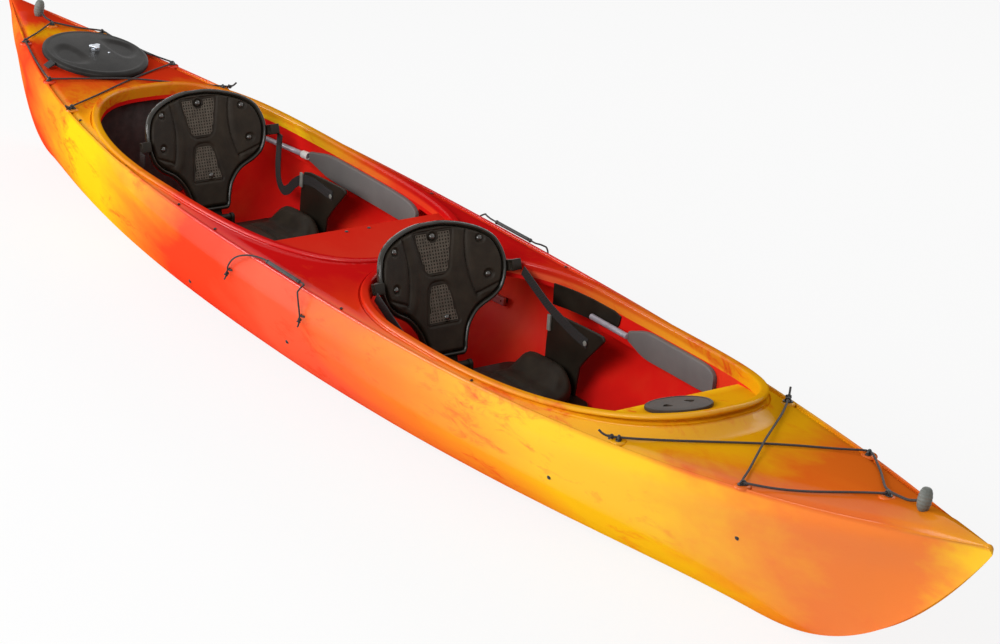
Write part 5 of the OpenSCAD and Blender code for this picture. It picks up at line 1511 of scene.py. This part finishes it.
# The deck bungees: black braided shock cord laced through the eyes over both decks, crossing once, each
# end stopped by an overhand knot with a short tail standing up.
cord_stuff = woven("braided_cord", (0.010, 0.008, 0.008), (0.034, 0.028, 0.027), 260, 5, 0.62, 0.66)
bungee_r = 0.00275
cord_turn = full_turn(14)
cord_round = np.stack([np.cos(cord_turn), np.sin(cord_turn)], -1)


def deck_line(route):
    """Route points of x, y and height over the deck, in mm, on the deck as it sweeps up to the rims."""
    p = np.array(route, float) / 1000
    rise = deck_z(p[:, 0], p[:, 1]) + skirt_flare(p[:, 0], p[:, 1])
    return np.column_stack([p[:, 0], p[:, 1], rise + p[:, 2]])


def knot(place, toward, radius):
    """An overhand knot drawn tight round a cord."""
    t = np.linspace(0, 2 * math.pi, 110)
    loop = np.stack([np.sin(t) + 2 * np.sin(2 * t), np.cos(t) - 2 * np.cos(2 * t),
                     -1.35 * np.sin(3 * t)], -1)
    mesh = swept("knot", loop * radius * 0.78, cord_round * radius * 0.92)
    turn = Vector(toward).to_track_quat("X", "Z").to_matrix().to_4x4()
    mesh.transform(Matrix.Translation(place) @ turn)
    return mesh


def laced(half, lifts):
    """A whole route from its first half: back along the other side, lifted where it crosses over."""
    back_run = [(x, -y, z) for x, y, z in half[-2::-1]]
    return half + [(x, y, lifts.get((x, y), z)) for x, y, z in back_run]


front_half = [(1352, -285, 27), (1360, -277, 17), (1372, -265, 11), (1386, -251, 10.5), (1402, -235, 9),
              (1460, -172, 5), (1530, -88, 5), (1593, -14, 5), (1650, 54, 5), (1710, 128, 6),
              (1744, 172, 10), (1758, 184, 10.5), (1778, 178, 10), (1830, 146, 6), (1890, 104, 5),
              (1980, 34, 7), (2022, 10, 10), (2027, 0, 10.5)]
front_lifts = {(1710, -128): 7, (1650, -54): 10, (1593, 14): 11.5, (1530, 88): 8, (1460, 172): 6}
rear_half = [(-1364, -292, 27), (-1370, -284, 17), (-1377, -275, 12), (-1389, -258, 10.5), (-1400, -240, 9),
             (-1450, -140, 5), (-1520, -6, 5), (-1580, 108, 5), (-1622, 199, 10), (-1634, 212, 10.5),
             (-1652, 212, 10), (-1720, 196, 6), (-1820, 172, 5), (-1910, 149, 6), (-1950, 140, 10),
             (-1962, 134, 10.5), (-1972, 122, 10), (-2006, 70, 6), (-2044, 12, 10), (-2050, 0, 10.5)]
rear_lifts = {(-1580, -108): 8, (-1520, 6): 11.5, (-1450, 140): 8}
for name, half, lifts in (("front_bungee", front_half, front_lifts),
                          ("rear_bungee", rear_half, rear_lifts)):
    line = deck_line(laced(half, lifts))
    meshes = [swept("cord", through(line, 460), cord_round * bungee_r)]
    for near, next_point in ((2, 3), (-3, -4)):
        meshes.append(knot(line[near], line[next_point] - line[near], bungee_r))
    whole = smooth_by_angle(joined(name + "_cord", meshes), 60)
    placed(name + "_cord", whole, cord_stuff, [name])

# The paddle keepers: a thin cord on each side between two side eyes, up over the gunwale and through a
# sleeve with a round bead at each end, so that a paddle shaft can be clipped under it.
keeper_r, keeper_lift = 0.0024, 0.003
sleeve_x, sleeve_y, sleeve_z, sleeve_half, bead_reach = 0.054, 0.366, 0.3426, 0.075, 0.105
# Cord from each eye to the sleeve: along from the eye, out from the beam and up from the sheer, in mm
keeper_up = [(-13, 15, -95), (-7, 13, -85), (0, 10, -64), (5, 10, -51), (31, 9, -23), (65, 7, -2),
             (97, -1, 7)]
keeper_down = [(-20, 1, 6), (-10, 8, -7), (-3, 9, -35), (0, 10, -51), (0, 10, -64), (-2, 13, -84),
               (-6, 15, -95)]


def from_eye(eye, steps):
    return [(eye[0] + x / 1000, mid_half + y / 1000, sheer_mid + z / 1000) for x, y, z in steps]


straight = [(sleeve_x + x, sleeve_y, sleeve_z + keeper_lift)
            for x in (-bead_reach, -sleeve_half, 0, sleeve_half, bead_reach)]
keeper_line = from_eye(side_eyes[0], keeper_up) + straight + from_eye(side_eyes[1], keeper_down)
keeper_run = through(keeper_line, 240)
keeper_run[:, 1] += np.interp(keeper_run[:, 2], [0.24, 0.30, 0.335, 0.345], [0.004, 0.011, 0.012, 0.0])
keeper = [swept("keeper", keeper_run, cord_round * keeper_r)]
keeper += [knot(keeper_run[k], keeper_run[k] - keeper_run[n], keeper_r) for k, n in ((9, 14), (-10, -15))]
placed("keeper_cord_pair", both_sides("keeper_cord_pair", joined("keeper", keeper), 60), cord_stuff,
       ["keeper_cords"])
sleeve_rubber = clouded("sleeve_rubber", [(0.022, 0.022, 0.022), (0.040, 0.039, 0.038)], 60,
                        (900, 0.55, 0.12, 0.2))
lifted = Matrix.Translation((0, 0, keeper_lift))
sleeves = moved(rounded(remade("keeper_sleeves"), 0.0012), lifted)
placed("keeper_sleeve_pair", sleeves, sleeve_rubber, ["keeper_sleeves"])
beads = moved(rounded(remade("keeper_beads"), 0.0005, angle=60), lifted)
placed("keeper_bead_set", beads, eye_plastic, ["keeper_beads"])

# The carry toggles: ribbed grey-green rubber barrels on a short loop of black cord at the bow and stern,
# held by the end eyes so that they swing up to be gripped.
toggle_r, toggle_half, toggle_x, toggle_lean = 0.0165, 0.028, 2.142, math.radians(-10)
rib_pitch, rib_reach, loop_r = 0.0085, 0.0215, 0.0032


def toggle_mesh():
    """A barrel with soft ribs round its middle."""
    a = np.radians(np.linspace(-88, 88, 61))
    radius = toggle_r * (0.72 * np.cos(a) ** 0.5 + 0.28 * np.cos(a))
    height = toggle_half * np.sin(a)
    ribs = (0.5 - 0.5 * np.cos(2 * math.pi * height / rib_pitch)) ** 2 * (np.abs(height) < rib_reach)
    return lathed("toggle", full_turn(48), zip(radius * (1 - 0.04 * ribs), height))


grip_rubber = clouded("grip_rubber", [(0.105, 0.112, 0.098), (0.155, 0.163, 0.145)], 40,
                      (800, 0.48, 0.12, 0.15))
# Loop cord: share of the way from the eye to the toggle, and millimetres over the deck
loop_route = [(0, 13), (0.28, 11), (0.6, 10), (0.85, 14), (1, 19)]
for name, x, start in (("bow", toggle_x, 2.036), ("stern", -toggle_x, -2.0596)):
    mesh = toggle_mesh()
    mesh.transform(Matrix.Translation((x, 0, at(deck_z, x, 0) + toggle_half - 0.004))
                   @ Matrix.Rotation(toggle_lean, 4, "X"))
    mesh.shade_smooth()
    placed(name + "_toggle_barrel", mesh, grip_rubber, [name + "_toggle"])
    reach = x - math.copysign(toggle_r, x) - start
    line = [(start + reach * share, 0, at(deck_z, start + reach * share, 0) + rise / 1000)
            for share, rise in loop_route]
    placed(name + "_loop_cord", swept("loop", through(line, 60), cord_round * loop_r), cord_stuff,
           [name + "_loop"])
